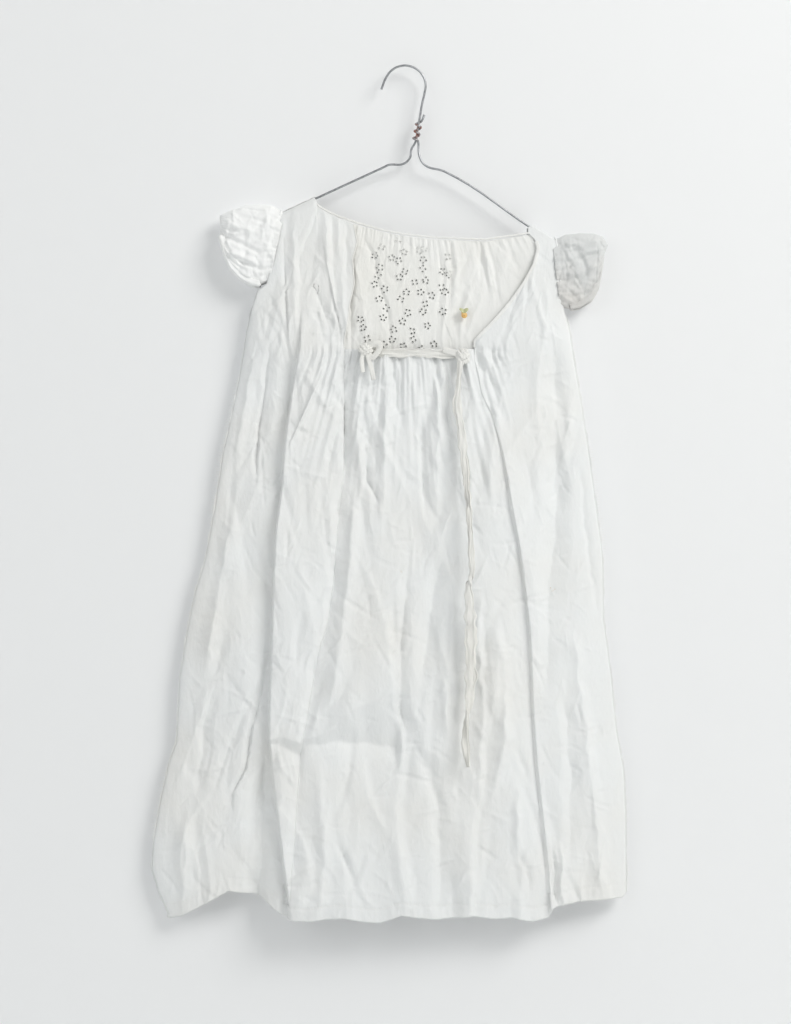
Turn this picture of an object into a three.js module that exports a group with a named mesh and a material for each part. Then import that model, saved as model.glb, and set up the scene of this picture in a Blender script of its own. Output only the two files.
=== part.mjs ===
// A child's cotton gown with puff sleeves, hung on a bent wire hanger.
// Millimetres, +Z up, the gown's front faces -Y. The origin is the top of the inside of the
// hanger's hook, where a nail or rail holds it.

import * as THREE from 'three';

// ---- Driving dimensions -------------------------------------------------------------------

const WIRE = 2.4;                 // hanger wire diameter
const HOOK_RADIUS = 22;           // centre line of the hook's round
const HANGER_LEFT = -188;         // centre line of the wire at each end of the hanger
const HANGER_RIGHT = 199;
const END_BEND = 7;               // radius of the bend at each end of the hanger

const CLOTH = 1.6;                // one layer of gathered cotton
const BODICE_FRONT = -9;          // middle of the inner bodice layer
const OUTER_LAYER = -13;          // middle of the side fronts that lie over it
const BACK = 10;                  // middle of the flat back
const SEAM_DEPTH = 0.5;           // middle of the overlocked side seams
const SEAM_STANDS_OUT = 5;        // width of the seam allowance outside the panels

const WAIST_JOIN = -310;          // height at which the skirt swings
const JOIN_GAP = 2;               // clearance on each side of that height
const SKIRT_FULLNESS = 13;        // how far the hem stands ahead of the waist
const FOLD_DEPTH = 4.5;           // half the depth of the skirt's folds
const FOLDS = 7;                  // folds across the front
const HEM = 14;                   // depth of the turned hem
const HEM_CLOTH = 2;              // the folded edge inside it
const HEM_BEHIND = 3.4;           // how far inside the panels the folded edge lies
const HEM_SIDE = 9;               // where the folded edge stops short of the side seams

const TIE_WIDTH = 15;
const TIE_CLOTH = 3;              // the tie is a flat tube of cloth, lightly twisted
const TIE_TOP = -317.5;           // just under the knot
const TIE_HINGE = -330.2;         // the pinch in the cloth about which the tie swings
const TIE_PINCH = 4;              // its width there
const TIE_FOOT = -736;
const TIE_START = -24;            // depth at the knot
const TIE_AHEAD = -40.5;          // depth lower down, clear of the skirt's folds

const BAND_TOP = -299;
const BAND_HEIGHT = 9;

// ---- Outlines, each a few hand-placed points of height and x ------------------------------

const LEFT_EDGE = [
  [-231, -146], [-258, -161], [-324, -174], [-407, -192], [-522, -212],
  [-590, -229], [-690, -240], [-780, -259], [-825, -269], [-860, -266], [-900, -249],
];
const RIGHT_EDGE = [
  [-257, 168], [-311, 179], [-403, 194], [-518, 210], [-585, 211],
  [-640, 218], [-745, 232], [-862, 235], [-900, 234],
];
const LEFT_PANEL_EDGE = [
  [-150, -96], [-170, -98], [-196, -108], [-206, -100], [-221, -56], [-235, -50],
  [-262, -57], [-289, -54], [-300, -58], [-420, -62], [-600, -75], [-900, -100],
];
const RIGHT_PANEL_EDGE = [
  [-180, 141], [-211, 135], [-251, 110], [-268, 96], [-291, 74], [-310, 76],
  [-366, 91], [-432, 108], [-521, 121], [-669, 131], [-900, 142],
];
const HEM_LINE = [
  [-260, -897], [-219, -889], [-186, -871], [-160, -873], [-132, -893], [-100, -900],
  [60, -897], [150, -899], [165, -886], [234, -876],
];
const NECKLINE = [
  [-94, -146], [-88, -151], [-72, -159], [-52, -166], [-24, -174], [0, -178.5],
  [33, -182], [86, -184], [97, -182], [132, -177],
];
const BACK_HEAD = [
  [-128, -163], [-96, -149], [-72, -167], [-24, -182], [33, -189], [86, -191],
  [128, -185], [140, -183], [156, -193],
];
const YOKE_LEFT = -60;
const YOKE_RIGHT = 47;

// ---- Small helpers ------------------------------------------------------------------------

const clamp01 = (t) => Math.min(1, Math.max(0, t));
const mix = (a, b, t) => a + (b - a) * t;
const ease = (t) => clamp01(t) * clamp01(t) * (3 - 2 * clamp01(t));

// The value of a list of [key, value] points at a key, straight between neighbours.
function along(points, key) {
  const rising = points[points.length - 1][0] > points[0][0];
  const list = rising ? points : [...points].reverse();
  if (key <= list[0][0]) return list[0][1];
  for (let i = 1; i < list.length; i += 1) {
    if (key <= list[i][0]) {
      const t = (key - list[i - 1][0]) / (list[i][0] - list[i - 1][0]);
      return mix(list[i - 1][1], list[i][1], t);
    }
  }
  return list[list.length - 1][1];
}

// A closed solid of even thickness about a surface (u, v) -> Vector3, u and v from 0 to 1.
function cloth(surface, columns, rows, thickness) {
  const at = (i, j) => surface(clamp01(i / columns), clamp01(j / rows));
  const step = 0.004;
  const normalAt = (i, j) => {
    const u = i / columns;
    const v = j / rows;
    const du = surface(Math.min(1, u + step), v).sub(surface(Math.max(0, u - step), v));
    const dv = surface(u, Math.min(1, v + step)).sub(surface(u, Math.max(0, v - step)));
    return du.cross(dv).normalize();
  };
  const positions = [];
  for (const side of [0.5, -0.5]) {
    for (let j = 0; j <= rows; j += 1) {
      for (let i = 0; i <= columns; i += 1) {
        const p = at(i, j).addScaledVector(normalAt(i, j), side * thickness);
        positions.push(p.x, p.y, p.z);
      }
    }
  }
  const layer = (columns + 1) * (rows + 1);
  const id = (i, j, k) => k * layer + j * (columns + 1) + i;
  const faces = [];
  const quad = (a, b, c, d) => faces.push(a, b, c, a, c, d);
  for (let j = 0; j < rows; j += 1) {
    for (let i = 0; i < columns; i += 1) {
      quad(id(i, j, 0), id(i + 1, j, 0), id(i + 1, j + 1, 0), id(i, j + 1, 0));
      quad(id(i, j, 1), id(i, j + 1, 1), id(i + 1, j + 1, 1), id(i + 1, j, 1));
    }
  }
  for (let i = 0; i < columns; i += 1) {
    quad(id(i, 0, 1), id(i + 1, 0, 1), id(i + 1, 0, 0), id(i, 0, 0));
    quad(id(i, rows, 0), id(i + 1, rows, 0), id(i + 1, rows, 1), id(i, rows, 1));
  }
  for (let j = 0; j < rows; j += 1) {
    quad(id(0, j, 0), id(0, j + 1, 0), id(0, j + 1, 1), id(0, j, 1));
    quad(id(columns, j, 1), id(columns, j + 1, 1), id(columns, j + 1, 0), id(columns, j, 0));
  }
  const geometry = new THREE.BufferGeometry();
  geometry.setAttribute('position', new THREE.Float32BufferAttribute(positions, 3));
  geometry.setIndex(faces);
  return geometry;
}

// A closed loop of cord: a round section carried about a closed curve.
function loop(curve, radius, steps, sides) {
  const frames = curve.computeFrenetFrames(steps, true);
  const positions = [];
  const faces = [];
  for (let i = 0; i < steps; i += 1) {
    const centre = curve.getPointAt(i / steps);
    for (let j = 0; j < sides; j += 1) {
      const angle = (j / sides) * 2 * Math.PI;
      const p = centre.clone()
        .addScaledVector(frames.normals[i], radius * Math.cos(angle))
        .addScaledVector(frames.binormals[i], radius * Math.sin(angle));
      positions.push(p.x, p.y, p.z);
      const a = i * sides + j;
      const b = i * sides + ((j + 1) % sides);
      const c = ((i + 1) % steps) * sides + ((j + 1) % sides);
      const d = ((i + 1) % steps) * sides + j;
      faces.push(a, b, c, a, c, d);
    }
  }
  const geometry = new THREE.BufferGeometry();
  geometry.setAttribute('position', new THREE.Float32BufferAttribute(positions, 3));
  geometry.setIndex(faces);
  return geometry;
}

// A round rod along an open curve.
function rod(curve, radius, steps, sides) {
  const section = new THREE.Shape();
  for (let j = 0; j < sides; j += 1) {
    const angle = (j / sides) * 2 * Math.PI;
    const x = radius * Math.cos(angle);
    const y = radius * Math.sin(angle);
    if (j === 0) section.moveTo(x, y);
    else section.lineTo(x, y);
  }
  section.closePath();
  return new THREE.ExtrudeGeometry(section, { steps, bevelEnabled: false, extrudePath: curve });
}

// ---- Materials ----------------------------------------------------------------------------

const cotton = new THREE.MeshStandardMaterial({ color: 0xeeeeea, roughness: 0.92, metalness: 0 });
const yokeCotton = new THREE.MeshStandardMaterial({ color: 0xf1f0e8, roughness: 0.92, metalness: 0 });
const tieCotton = new THREE.MeshStandardMaterial({ color: 0xf2efe3, roughness: 0.9, metalness: 0 });
const thread = new THREE.MeshStandardMaterial({ color: 0xf6f6f2, roughness: 0.85, metalness: 0 });
const wireSteel = new THREE.MeshStandardMaterial({ color: 0x9b9da0, roughness: 0.42, metalness: 1 });
const budRibbon = new THREE.MeshStandardMaterial({ color: 0xd98a5a, roughness: 0.6, metalness: 0 });
const leafRibbon = new THREE.MeshStandardMaterial({ color: 0x6f8b5a, roughness: 0.6, metalness: 0 });

const gown = new THREE.Group();

function piece(name, geometry, material) {
  const mesh = new THREE.Mesh(geometry, material);
  mesh.name = name;
  gown.add(mesh);
  return mesh;
}

// ---- The hanger ---------------------------------------------------------------------------
// One wire: the hook, the neck, the left shoulder, the bar, the right shoulder, and the free
// end wound three times round the neck.

const NECK_TOP = new THREE.Vector3(16, 0, -52);
const NECK_FOOT = new THREE.Vector3(11, 0, -80);
const TWIST_TURNS = 3;
const TWIST_RADIUS = WIRE + 0.5;

function hangerCurve() {
  const points = [];
  const add = (x, z, y = 0) => points.push(new THREE.Vector3(x, y, z));
  const hookCentreZ = WIRE / 2 - HOOK_RADIUS;
  add(-25, -24);
  for (const degrees of [155, 130, 105, 80, 55, 30, 5, -20]) {
    const a = THREE.MathUtils.degToRad(degrees);
    add(HOOK_RADIUS * Math.cos(a), hookCentreZ + HOOK_RADIUS * Math.sin(a));
  }
  add(18, -40);
  points.push(NECK_TOP.clone(), NECK_TOP.clone().lerp(NECK_FOOT, 0.5), NECK_FOOT.clone());
  add(7, -87);
  add(5, -97);
  add(-2, -103);
  add(-19, -105);
  add(-93, -139);
  add(-140, -161);
  add(HANGER_LEFT + END_BEND, -180.5);
  add(HANGER_LEFT, -186);
  add(HANGER_LEFT + 2, -192);
  add(HANGER_LEFT + 10, -194.5);
  add(-90, -199);
  add(0, -203);
  add(100, -210.5);
  add(HANGER_RIGHT - 16, -219);
  add(HANGER_RIGHT - 3, -221);
  add(HANGER_RIGHT, -217);
  add(HANGER_RIGHT - 5, -210.5);
  add(160, -187.5);
  add(134, -171);
  add(42, -111);
  add(21, -104);
  add(15.5, -95);
  const side = new THREE.Vector3(1, 0, 0);
  const ahead = new THREE.Vector3(0, -1, 0);
  const perTurn = 8;
  for (let i = 0; i <= TWIST_TURNS * perTurn; i += 1) {
    const t = i / (TWIST_TURNS * perTurn);
    const a = t * TWIST_TURNS * 2 * Math.PI;
    points.push(
      NECK_FOOT.clone().lerp(NECK_TOP, 0.02 + 0.8 * t)
        .addScaledVector(side, TWIST_RADIUS * Math.cos(a))
        .addScaledVector(ahead, TWIST_RADIUS * Math.sin(a)),
    );
  }
  add(20.5, -51);
  return new THREE.CatmullRomCurve3(points, false, 'centripetal');
}

piece('hanger_wire', rod(hangerCurve(), WIRE / 2, 170, 6), wireSteel);

// ---- Surfaces of the front and the back ---------------------------------------------------

const leftEdge = (z) => along(LEFT_EDGE, z);
const rightEdge = (z) => along(RIGHT_EDGE, z);
const hemLine = (x) => along(HEM_LINE, x);
const neckline = (x) => along(NECKLINE, x);

// Middle of the front cloth below the waist: round at the side seams, in even folds.
function skirtFront(x, z) {
  const left = leftEdge(z);
  const right = rightEdge(z);
  const across = clamp01((x - left) / (right - left));
  const drop = ease((WAIST_JOIN - z) / 420);
  const edge = Math.sqrt(Math.sin(Math.PI * across)) ** 1.2;
  const fold = FOLD_DEPTH * drop * Math.cos(2 * Math.PI * FOLDS * across);
  return mix(-3, -16.5 - SKIRT_FULLNESS * drop + fold, edge);
}

// Middle of the outer front layer above the waist.
function bodiceOuter(x, z) {
  const left = z > -231 ? -133 : leftEdge(z);
  const right = z > -257 ? 161 : rightEdge(z);
  const across = clamp01((x - left) / (right - left));
  const edge = clamp01(Math.sin(Math.PI * across) * 3);
  const side = z > -245 ? -10 : mix(-10, -3, ease((-245 - z) / 30));
  return mix(side, mix(OUTER_LAYER, -16.5, ease((-200 - z) / 110)), Math.sqrt(edge));
}

// Middle of the back: flat, but for the last tenth at each side.
function backSurface(x, z) {
  const left = z > -231 ? -146 : leftEdge(z);
  const right = z > -257 ? 168 : rightEdge(z);
  const across = (x - left) / (right - left);
  const near = Math.min(across, 1 - across);
  return mix(4, BACK, ease(near / 0.1));
}

// The edges lean, so x and z are found together in a few passes.
const SETTLING_PASSES = 8;

// A panel between two edges x(z) and two lines z(x) on a surface y(x, z).
function shaped(name, { left, right, head, foot, depth, columns, rows, material, thickness }) {
  const surface = (u, v) => {
    let z = mix(head(0), foot(0), v);
    let x = 0;
    for (let pass = 0; pass < SETTLING_PASSES; pass += 1) {
      x = mix(left(z), right(z), u);
      z = mix(head(x), foot(x), v);
    }
    return new THREE.Vector3(x, depth(x, z), z);
  };
  return piece(name, cloth(surface, columns, rows, thickness ?? CLOTH), material);
}

const flat = (value) => () => value;
const bodiceFoot = WAIST_JOIN + JOIN_GAP;
const skirtHead = WAIST_JOIN - JOIN_GAP;
const GAP = 0.6;

// ---- Bodice, inner layer: left fill, broderie yoke, gathered right fill ---------------------

const innerDepth = (x, z) => mix(BODICE_FRONT, -12.4, ease((-200 - z) / 100));
const belowNeck = (x) => neckline(x) - 3.4;

shaped('bodice_left_fill', {
  left: flat(-92), right: flat(YOKE_LEFT - GAP), head: belowNeck, foot: flat(-236),
  depth: innerDepth, columns: 5, rows: 5, material: yokeCotton,
});
shaped('yoke', {
  left: flat(YOKE_LEFT), right: flat(YOKE_RIGHT), head: belowNeck, foot: flat(bodiceFoot),
  depth: innerDepth, columns: 8, rows: 8, material: yokeCotton,
});
shaped('bodice_right_fill', {
  left: flat(YOKE_RIGHT + GAP), right: flat(128), head: belowNeck,
  foot: (x) => mix(bodiceFoot, -240, ease((x - 78) / 46)),
  depth: innerDepth, columns: 6, rows: 8, material: yokeCotton,
});

// ---- Bodice, outer layer: the side fronts above the waist -----------------------------------

const SHOULDER_LEFT = [[-188, -183], [-140, -161], [-93, -139]];
const SHOULDER_RIGHT = [[134, -171], [160, -187.5], [199, -215]];
const SHOULDER_DROP = 7;          // from the wire down to the head of the front panels
const leftPanelEdge = (z) => along(LEFT_PANEL_EDGE, z);
const rightPanelEdge = (z) => along(RIGHT_PANEL_EDGE, z);
const leftArmhole = (z) => (z > -231 ? mix(-129, -144, (z + 160) / (-231 + 160)) : leftEdge(z));
const rightArmhole = (z) => (z > -257 ? mix(156, 163.5, (z + 190) / (-257 + 190)) : rightEdge(z));

shaped('side_front_left', {
  left: leftArmhole, right: leftPanelEdge,
  head: (x) => along(SHOULDER_LEFT, x) - SHOULDER_DROP, foot: flat(bodiceFoot),
  depth: bodiceOuter, columns: 6, rows: 12, material: cotton,
});
shaped('side_front_right', {
  left: rightPanelEdge, right: rightArmhole,
  head: (x) => along(SHOULDER_RIGHT, x) - SHOULDER_DROP, foot: flat(bodiceFoot),
  depth: bodiceOuter, columns: 6, rows: 12, material: cotton,
});

// ---- Bodice back ----------------------------------------------------------------------------

shaped('back_bodice', {
  left: leftArmhole, right: rightArmhole,
  head: (x) => along(BACK_HEAD, x), foot: flat(bodiceFoot),
  depth: backSurface, columns: 20, rows: 10, material: cotton,
});

// ---- Shoulder seams: each lies over the hanger's wire ---------------------------------------

function shoulderSeam(name, line, from, to) {
  const halfDepth = 9.75;
  const middle = -1.75;
  const surface = (u, v) => {
    const x = mix(from, to, u);
    const foot = along(line, x) - SHOULDER_DROP + 1;
    const rise = SHOULDER_DROP + 1.9;
    return new THREE.Vector3(
      x, middle - halfDepth * Math.cos(Math.PI * v), foot + rise * Math.sin(Math.PI * v));
  };
  return piece(name, cloth((u, v) => surface(1 - u, v), 3, 10, CLOTH), thread);
}

shoulderSeam('shoulder_left', SHOULDER_LEFT, -127.5, -95);
shoulderSeam('shoulder_right', SHOULDER_RIGHT, 135.5, 155);

// ---- Neck bindings --------------------------------------------------------------------------

const BINDING = 2.8;
const BINDING_CLOTH = 2.2;

shaped('neck_binding_front', {
  left: flat(-92.5), right: flat(131), head: neckline, foot: (x) => neckline(x) - BINDING,
  depth: flat(BODICE_FRONT), columns: 16, rows: 1, material: cotton, thickness: BINDING_CLOTH,
});
shaped('neck_binding_back', {
  left: flat(-94), right: flat(133),
  head: (x) => along(BACK_HEAD, x) + BINDING + 0.5, foot: (x) => along(BACK_HEAD, x) + 0.5,
  depth: flat(BACK - 0.3), columns: 12, rows: 1, material: cotton, thickness: BINDING_CLOTH,
});

// ---- Waist band, its knots and the folded loop of the left knot -----------------------------

const BAND_DEPTH = -19.2;
const KNOT_RIGHT = new THREE.Vector3(61, -22.6, -308);
const KNOT_LEFT = new THREE.Vector3(-41.5, -22.4, -301);

const band = (u, v) => new THREE.Vector3(
  mix(-33, 53, u), BAND_DEPTH, BAND_TOP - 2 * u - v * BAND_HEIGHT);
piece('waist_band', cloth(band, 8, 1, 2.4), cotton);

function knot(name, centre, x, y, z) {
  const geometry = new THREE.SphereGeometry(1, 12, 8).rotateX(Math.PI / 2).scale(x, y, z);
  return piece(name, geometry.translate(centre.x, centre.y, centre.z), tieCotton);
}

knot('knot_right', KNOT_RIGHT, 7, 4.4, 8);
knot('knot_left', KNOT_LEFT, 7.5, 4, 6);

const leftLoop = (u, v) => new THREE.Vector3(
  mix(-32.5, -25, u) - 3 * v, -23.4 - 1.2 * Math.sin(Math.PI * v), mix(-296, -309, v));
piece('knot_loop_left', cloth(leftLoop, 2, 4, 1.6), tieCotton);

// ---- Rosebud trim ---------------------------------------------------------------------------

function bead(name, x, y, z, sizes, material) {
  const geometry = new THREE.SphereGeometry(1, 10, 7).scale(...sizes);
  return piece(name, geometry.translate(x, y, z), material);
}

bead('rosebud', 62, -16, -264.5, [4, 3.2, 4], budRibbon);
bead('rosebud_leaf', 62, -15.4, -257.2, [4.4, 2, 2.4], leafRibbon);

// ---- Side seams, overlocked, standing out beyond the panels ---------------------------------

function sideSeam(name, edge, outward, top, foot, rows) {
  const surface = (u, v) => {
    const z = mix(top, foot, v);
    const inner = edge(z) - outward * 3;
    const outer = edge(z) + outward * SEAM_STANDS_OUT;
    return new THREE.Vector3(outward > 0 ? mix(inner, outer, u) : mix(outer, inner, u), SEAM_DEPTH, z);
  };
  return piece(name, cloth(surface, 1, rows, 2.2), thread);
}

sideSeam('side_seam_left_bodice', leftEdge, -1, -238, bodiceFoot, 5);
sideSeam('side_seam_right_bodice', rightEdge, 1, -264, bodiceFoot, 4);
sideSeam('side_seam_left_skirt', leftEdge, -1, skirtHead, -893, 16);
sideSeam('side_seam_right_skirt', rightEdge, 1, skirtHead, -874, 16);

// ---- Skirt: centre front, side fronts, back and the turned hem ------------------------------

const insideLeft = (z) => leftEdge(z) + HEM_SIDE;
const insideRight = (z) => rightEdge(z) - HEM_SIDE;

shaped('skirt_front', {
  left: (z) => leftPanelEdge(z) + GAP, right: (z) => rightPanelEdge(z) - GAP,
  head: flat(skirtHead), foot: hemLine, depth: skirtFront, columns: 14, rows: 12, material: cotton,
});
shaped('skirt_side_left', {
  left: leftEdge, right: leftPanelEdge,
  head: flat(skirtHead), foot: hemLine, depth: skirtFront, columns: 9, rows: 12, material: cotton,
});
shaped('skirt_side_right', {
  left: rightPanelEdge, right: rightEdge,
  head: flat(skirtHead), foot: hemLine, depth: skirtFront, columns: 8, rows: 12, material: cotton,
});
shaped('skirt_back', {
  left: leftEdge, right: rightEdge,
  head: flat(skirtHead), foot: hemLine, depth: backSurface, columns: 20, rows: 10, material: cotton,
});
shaped('hem_front', {
  left: insideLeft, right: insideRight, head: (x) => hemLine(x) + HEM, foot: (x) => hemLine(x) + 1,
  depth: (x, z) => skirtFront(x, z) + HEM_BEHIND, columns: 36, rows: 1, material: cotton,
  thickness: HEM_CLOTH,
});
shaped('hem_back', {
  left: insideLeft, right: insideRight, head: (x) => hemLine(x) + HEM, foot: (x) => hemLine(x) + 1,
  depth: (x, z) => backSurface(x, z) - HEM_BEHIND, columns: 20, rows: 1, material: cotton,
  thickness: HEM_CLOTH,
});

// ---- Armhole bindings -----------------------------------------------------------------------

function armhole(name, top, foot) {
  const centre = top.clone().add(foot).multiplyScalar(0.5);
  const half = top.clone().sub(foot).multiplyScalar(0.5);
  const points = [];
  for (let i = 0; i < 16; i += 1) {
    const a = (i / 16) * 2 * Math.PI;
    const p = centre.clone().addScaledVector(half, Math.cos(a));
    p.y = -1.5 + 10.5 * Math.sin(a);
    points.push(p);
  }
  return piece(name, loop(new THREE.CatmullRomCurve3(points, true), 1.1, 24, 5), cotton);
}

armhole('armhole_left', new THREE.Vector3(-131, 0, -152.6), new THREE.Vector3(-147, 0, -230));
armhole('armhole_right', new THREE.Vector3(159, 0, -181.6), new THREE.Vector3(166.5, 0, -257));

// ---- Puff sleeves and their rolled cuffs ----------------------------------------------------
// Each sleeve is a hood over the end of the hanger: a front wall, a rounded top and a back wall,
// open at the armhole and along its lower edge, where the cuff is.

const SLEEVE_MIDDLE = -2;
const sleeveHalfDepth = (u) => 1.4 + mix(9.4, 10.4, Math.sin(Math.PI * u)) * Math.sqrt(1 - u ** 6);
const line = (points) => new THREE.CatmullRomCurve3(points.map(([x, z]) => new THREE.Vector3(x, 0, z)));

function sleeve(side, topPoints, footPoints, mirrored) {
  const top = line(topPoints);
  const foot = line(footPoints);
  const surface = (u, v) => {
    const a = Math.PI * v;
    const down = 1 - Math.sin(a) ** 0.8;
    const p = top.getPoint(u).lerp(foot.getPoint(u), down);
    const across = Math.sign(Math.cos(a)) * Math.abs(Math.cos(a)) ** 0.7;
    p.y = SLEEVE_MIDDLE - sleeveHalfDepth(u) * across;
    return p;
  };
  const turned = mirrored ? surface : (u, v) => surface(1 - u, v);
  piece(`sleeve_${side}`, cloth((u, v) => turned(u, 1 - v), 9, 14, CLOTH), cotton);

  const heart = top.getPoint(0.3).lerp(foot.getPoint(0.3), 0.5);
  const points = [];
  const count = 9;
  for (const back of [false, true]) {
    for (let i = 0; i < count; i += 1) {
      const t = back ? 1 - i / (count - 1) : i / (count - 1);
      const u = mix(0.15, 0.95, t);
      const p = foot.getPoint(u);
      const tangent = foot.getTangent(u);
      const outward = new THREE.Vector3(-tangent.z, 0, tangent.x);
      if (outward.dot(p.clone().sub(heart)) < 0) outward.negate();
      p.addScaledVector(outward, 3.4);
      p.y = SLEEVE_MIDDLE + (back ? 1 : -1) * sleeveHalfDepth(u);
      points.push(p);
    }
  }
  piece(`cuff_${side}`, loop(new THREE.CatmullRomCurve3(points, true), 1.7, 36, 6), cotton);
}

sleeve('left', [
  [-134.5, -151.5], [-141, -147.5], [-155, -146], [-168, -147], [-177, -150], [-188, -154], [-196, -158],
], [
  [-150.5, -230], [-156, -233], [-163, -231.5], [-174, -225], [-184, -215], [-190, -202], [-195, -184],
], false);
sleeve('right', [
  [162.5, -181.5], [170, -178], [185, -176.5], [200, -177], [209, -180], [215, -189],
], [
  [170, -255], [177, -257], [185, -255.5], [197, -248], [204, -235], [209, -204],
], true);

// ---- The long tie, its top below the knot, and the two short tails --------------------------

const tieDepth = (z) => mix(TIE_START, TIE_AHEAD, ease((TIE_TOP - z) / 250));
const TIE_MIDDLE = [
  [-317, 58], [-332, 55], [-354, 54], [-395, 61], [-456, 67], [-504, 69], [-540, 68],
  [-595, 69], [-651, 68], [-711, 63.5], [-736, 63],
];

function tieWidth(z) {
  const pinched = TIE_PINCH + Math.abs(z - TIE_HINGE) * 0.9;
  const pointed = mix(TIE_WIDTH, TIE_PINCH, clamp01((-650 - z) / (-650 - TIE_FOOT)));
  return Math.min(TIE_WIDTH, pinched, pointed);
}

function tiePiece(name, top, foot, rows) {
  const surface = (u, v) => {
    const z = mix(top, foot, v);
    return new THREE.Vector3(along(TIE_MIDDLE, z) + tieWidth(z) * (u - 0.5), tieDepth(z), z);
  };
  return piece(name, cloth(surface, 2, rows, TIE_CLOTH), tieCotton);
}

tiePiece('tie_top', TIE_TOP, TIE_HINGE + 0.7, 4);
tiePiece('tie_long', TIE_HINGE - 0.7, TIE_FOOT, 30);

function tail(name, x, footX, foot) {
  const surface = (u, v) => new THREE.Vector3(
    mix(x, footX, v) + 5 * (u - 0.5), -24 - v, mix(-308.6, foot, v));
  return piece(name, cloth(surface, 1, 4, 1.5), tieCotton);
}

tail('tie_tail_long', -38.5, -33, -332);
tail('tie_tail_short', -45.5, -44, -325);

export default gown;
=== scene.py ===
"""A cotton gown with puff sleeves and an eyelet yoke, hung on a bent wire hanger."""
import math

import bmesh
import bpy
import numpy as np
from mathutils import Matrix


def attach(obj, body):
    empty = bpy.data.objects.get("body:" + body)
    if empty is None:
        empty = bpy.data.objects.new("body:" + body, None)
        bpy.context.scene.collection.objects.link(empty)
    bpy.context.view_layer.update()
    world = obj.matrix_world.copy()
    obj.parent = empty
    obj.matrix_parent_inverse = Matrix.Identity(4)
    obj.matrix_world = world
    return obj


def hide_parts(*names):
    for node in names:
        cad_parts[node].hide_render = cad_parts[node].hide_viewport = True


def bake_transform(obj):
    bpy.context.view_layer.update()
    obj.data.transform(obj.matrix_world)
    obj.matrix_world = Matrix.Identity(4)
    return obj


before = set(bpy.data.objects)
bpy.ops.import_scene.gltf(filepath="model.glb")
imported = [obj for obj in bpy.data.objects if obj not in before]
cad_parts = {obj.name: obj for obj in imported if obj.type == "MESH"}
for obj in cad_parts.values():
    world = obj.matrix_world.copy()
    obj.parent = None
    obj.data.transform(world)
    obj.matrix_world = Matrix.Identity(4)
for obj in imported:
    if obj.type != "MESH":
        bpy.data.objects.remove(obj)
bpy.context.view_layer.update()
MM = 0.001


# ---- Camera, room and light ------------------------------------------------------------------
# The gown hangs just clear of a smooth white wall, lit softly from above and in front. The wall
# can be seen only from the front, so the gown's back is open to the views from behind.

scene = bpy.context.scene
scene.view_settings.view_transform = "Standard"

EYE = (-10 * MM, -2.56, -471.5 * MM)
camera_data = bpy.data.cameras.new("camera")
camera_data.lens = 85
camera = bpy.data.objects.new("camera", camera_data)
camera.location = EYE
camera.rotation_euler = (math.radians(90), 0, 0)
scene.collection.objects.link(camera)
scene.camera = camera


def lamp(name, place, aim, size, watts, colour):
    data = bpy.data.lights.new(name, "AREA")
    data.shape = "RECTANGLE"
    data.size, data.size_y = size
    data.energy = watts
    data.color = colour
    obj = bpy.data.objects.new(name, data)
    obj.location = place
    direction = np.array(aim) - np.array(place)
    yaw = math.atan2(direction[0], -direction[1])
    drop = math.atan2(math.hypot(direction[0], direction[1]), -direction[2])
    obj.rotation_euler = (drop, 0, math.pi + yaw)
    scene.collection.objects.link(obj)
    return obj


lamp("key_light", (2.0, -1.9, 1.5), (0, 0, -0.38), (1.6, 1.3), 62, (1.0, 0.99, 0.97))
lamp("fill_light", (-1.6, -2.2, 0.0), (0, 0, -0.5), (2.0, 2.0), 11, (0.98, 0.99, 1.0))
lamp("back_light", (0.4, 1.9, 0.6), (0, 0, -0.5), (1.6, 1.6), 26, (0.97, 0.98, 1.0))

world = bpy.data.worlds.new("room")
world.use_nodes = True
world.node_tree.nodes["Background"].inputs["Color"].default_value = (0.97, 0.99, 0.985, 1)
world.node_tree.nodes["Background"].inputs["Strength"].default_value = 0.45
scene.world = world


def new_material(name, colour, roughness, metallic=0.0):
    material = bpy.data.materials.new(name)
    material.use_nodes = True
    shader = material.node_tree.nodes["Principled BSDF"]
    shader.inputs["Base Color"].default_value = (*colour, 1)
    shader.inputs["Roughness"].default_value = roughness
    shader.inputs["Metallic"].default_value = metallic
    return material, material.node_tree, shader


def math_node(tree, operation, *values):
    node = tree.nodes.new("ShaderNodeMath")
    node.operation = operation
    for socket, value in zip(node.inputs, values):
        if isinstance(value, bpy.types.NodeSocket):
            tree.links.new(value, socket)
        else:
            socket.default_value = value
    return node.outputs[0]


def stage_plane(name, corners, material):
    bm = bmesh.new()
    bm.faces.new([bm.verts.new(c) for c in corners])
    mesh = bpy.data.meshes.new(name)
    bm.to_mesh(mesh)
    bm.free()
    mesh.materials.append(material)
    obj = bpy.data.objects.new(name, mesh)
    scene.collection.objects.link(obj)
    return obj


WALL_PLANE = 13.5 * MM
FLOOR_LEVEL = -1.12

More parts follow.
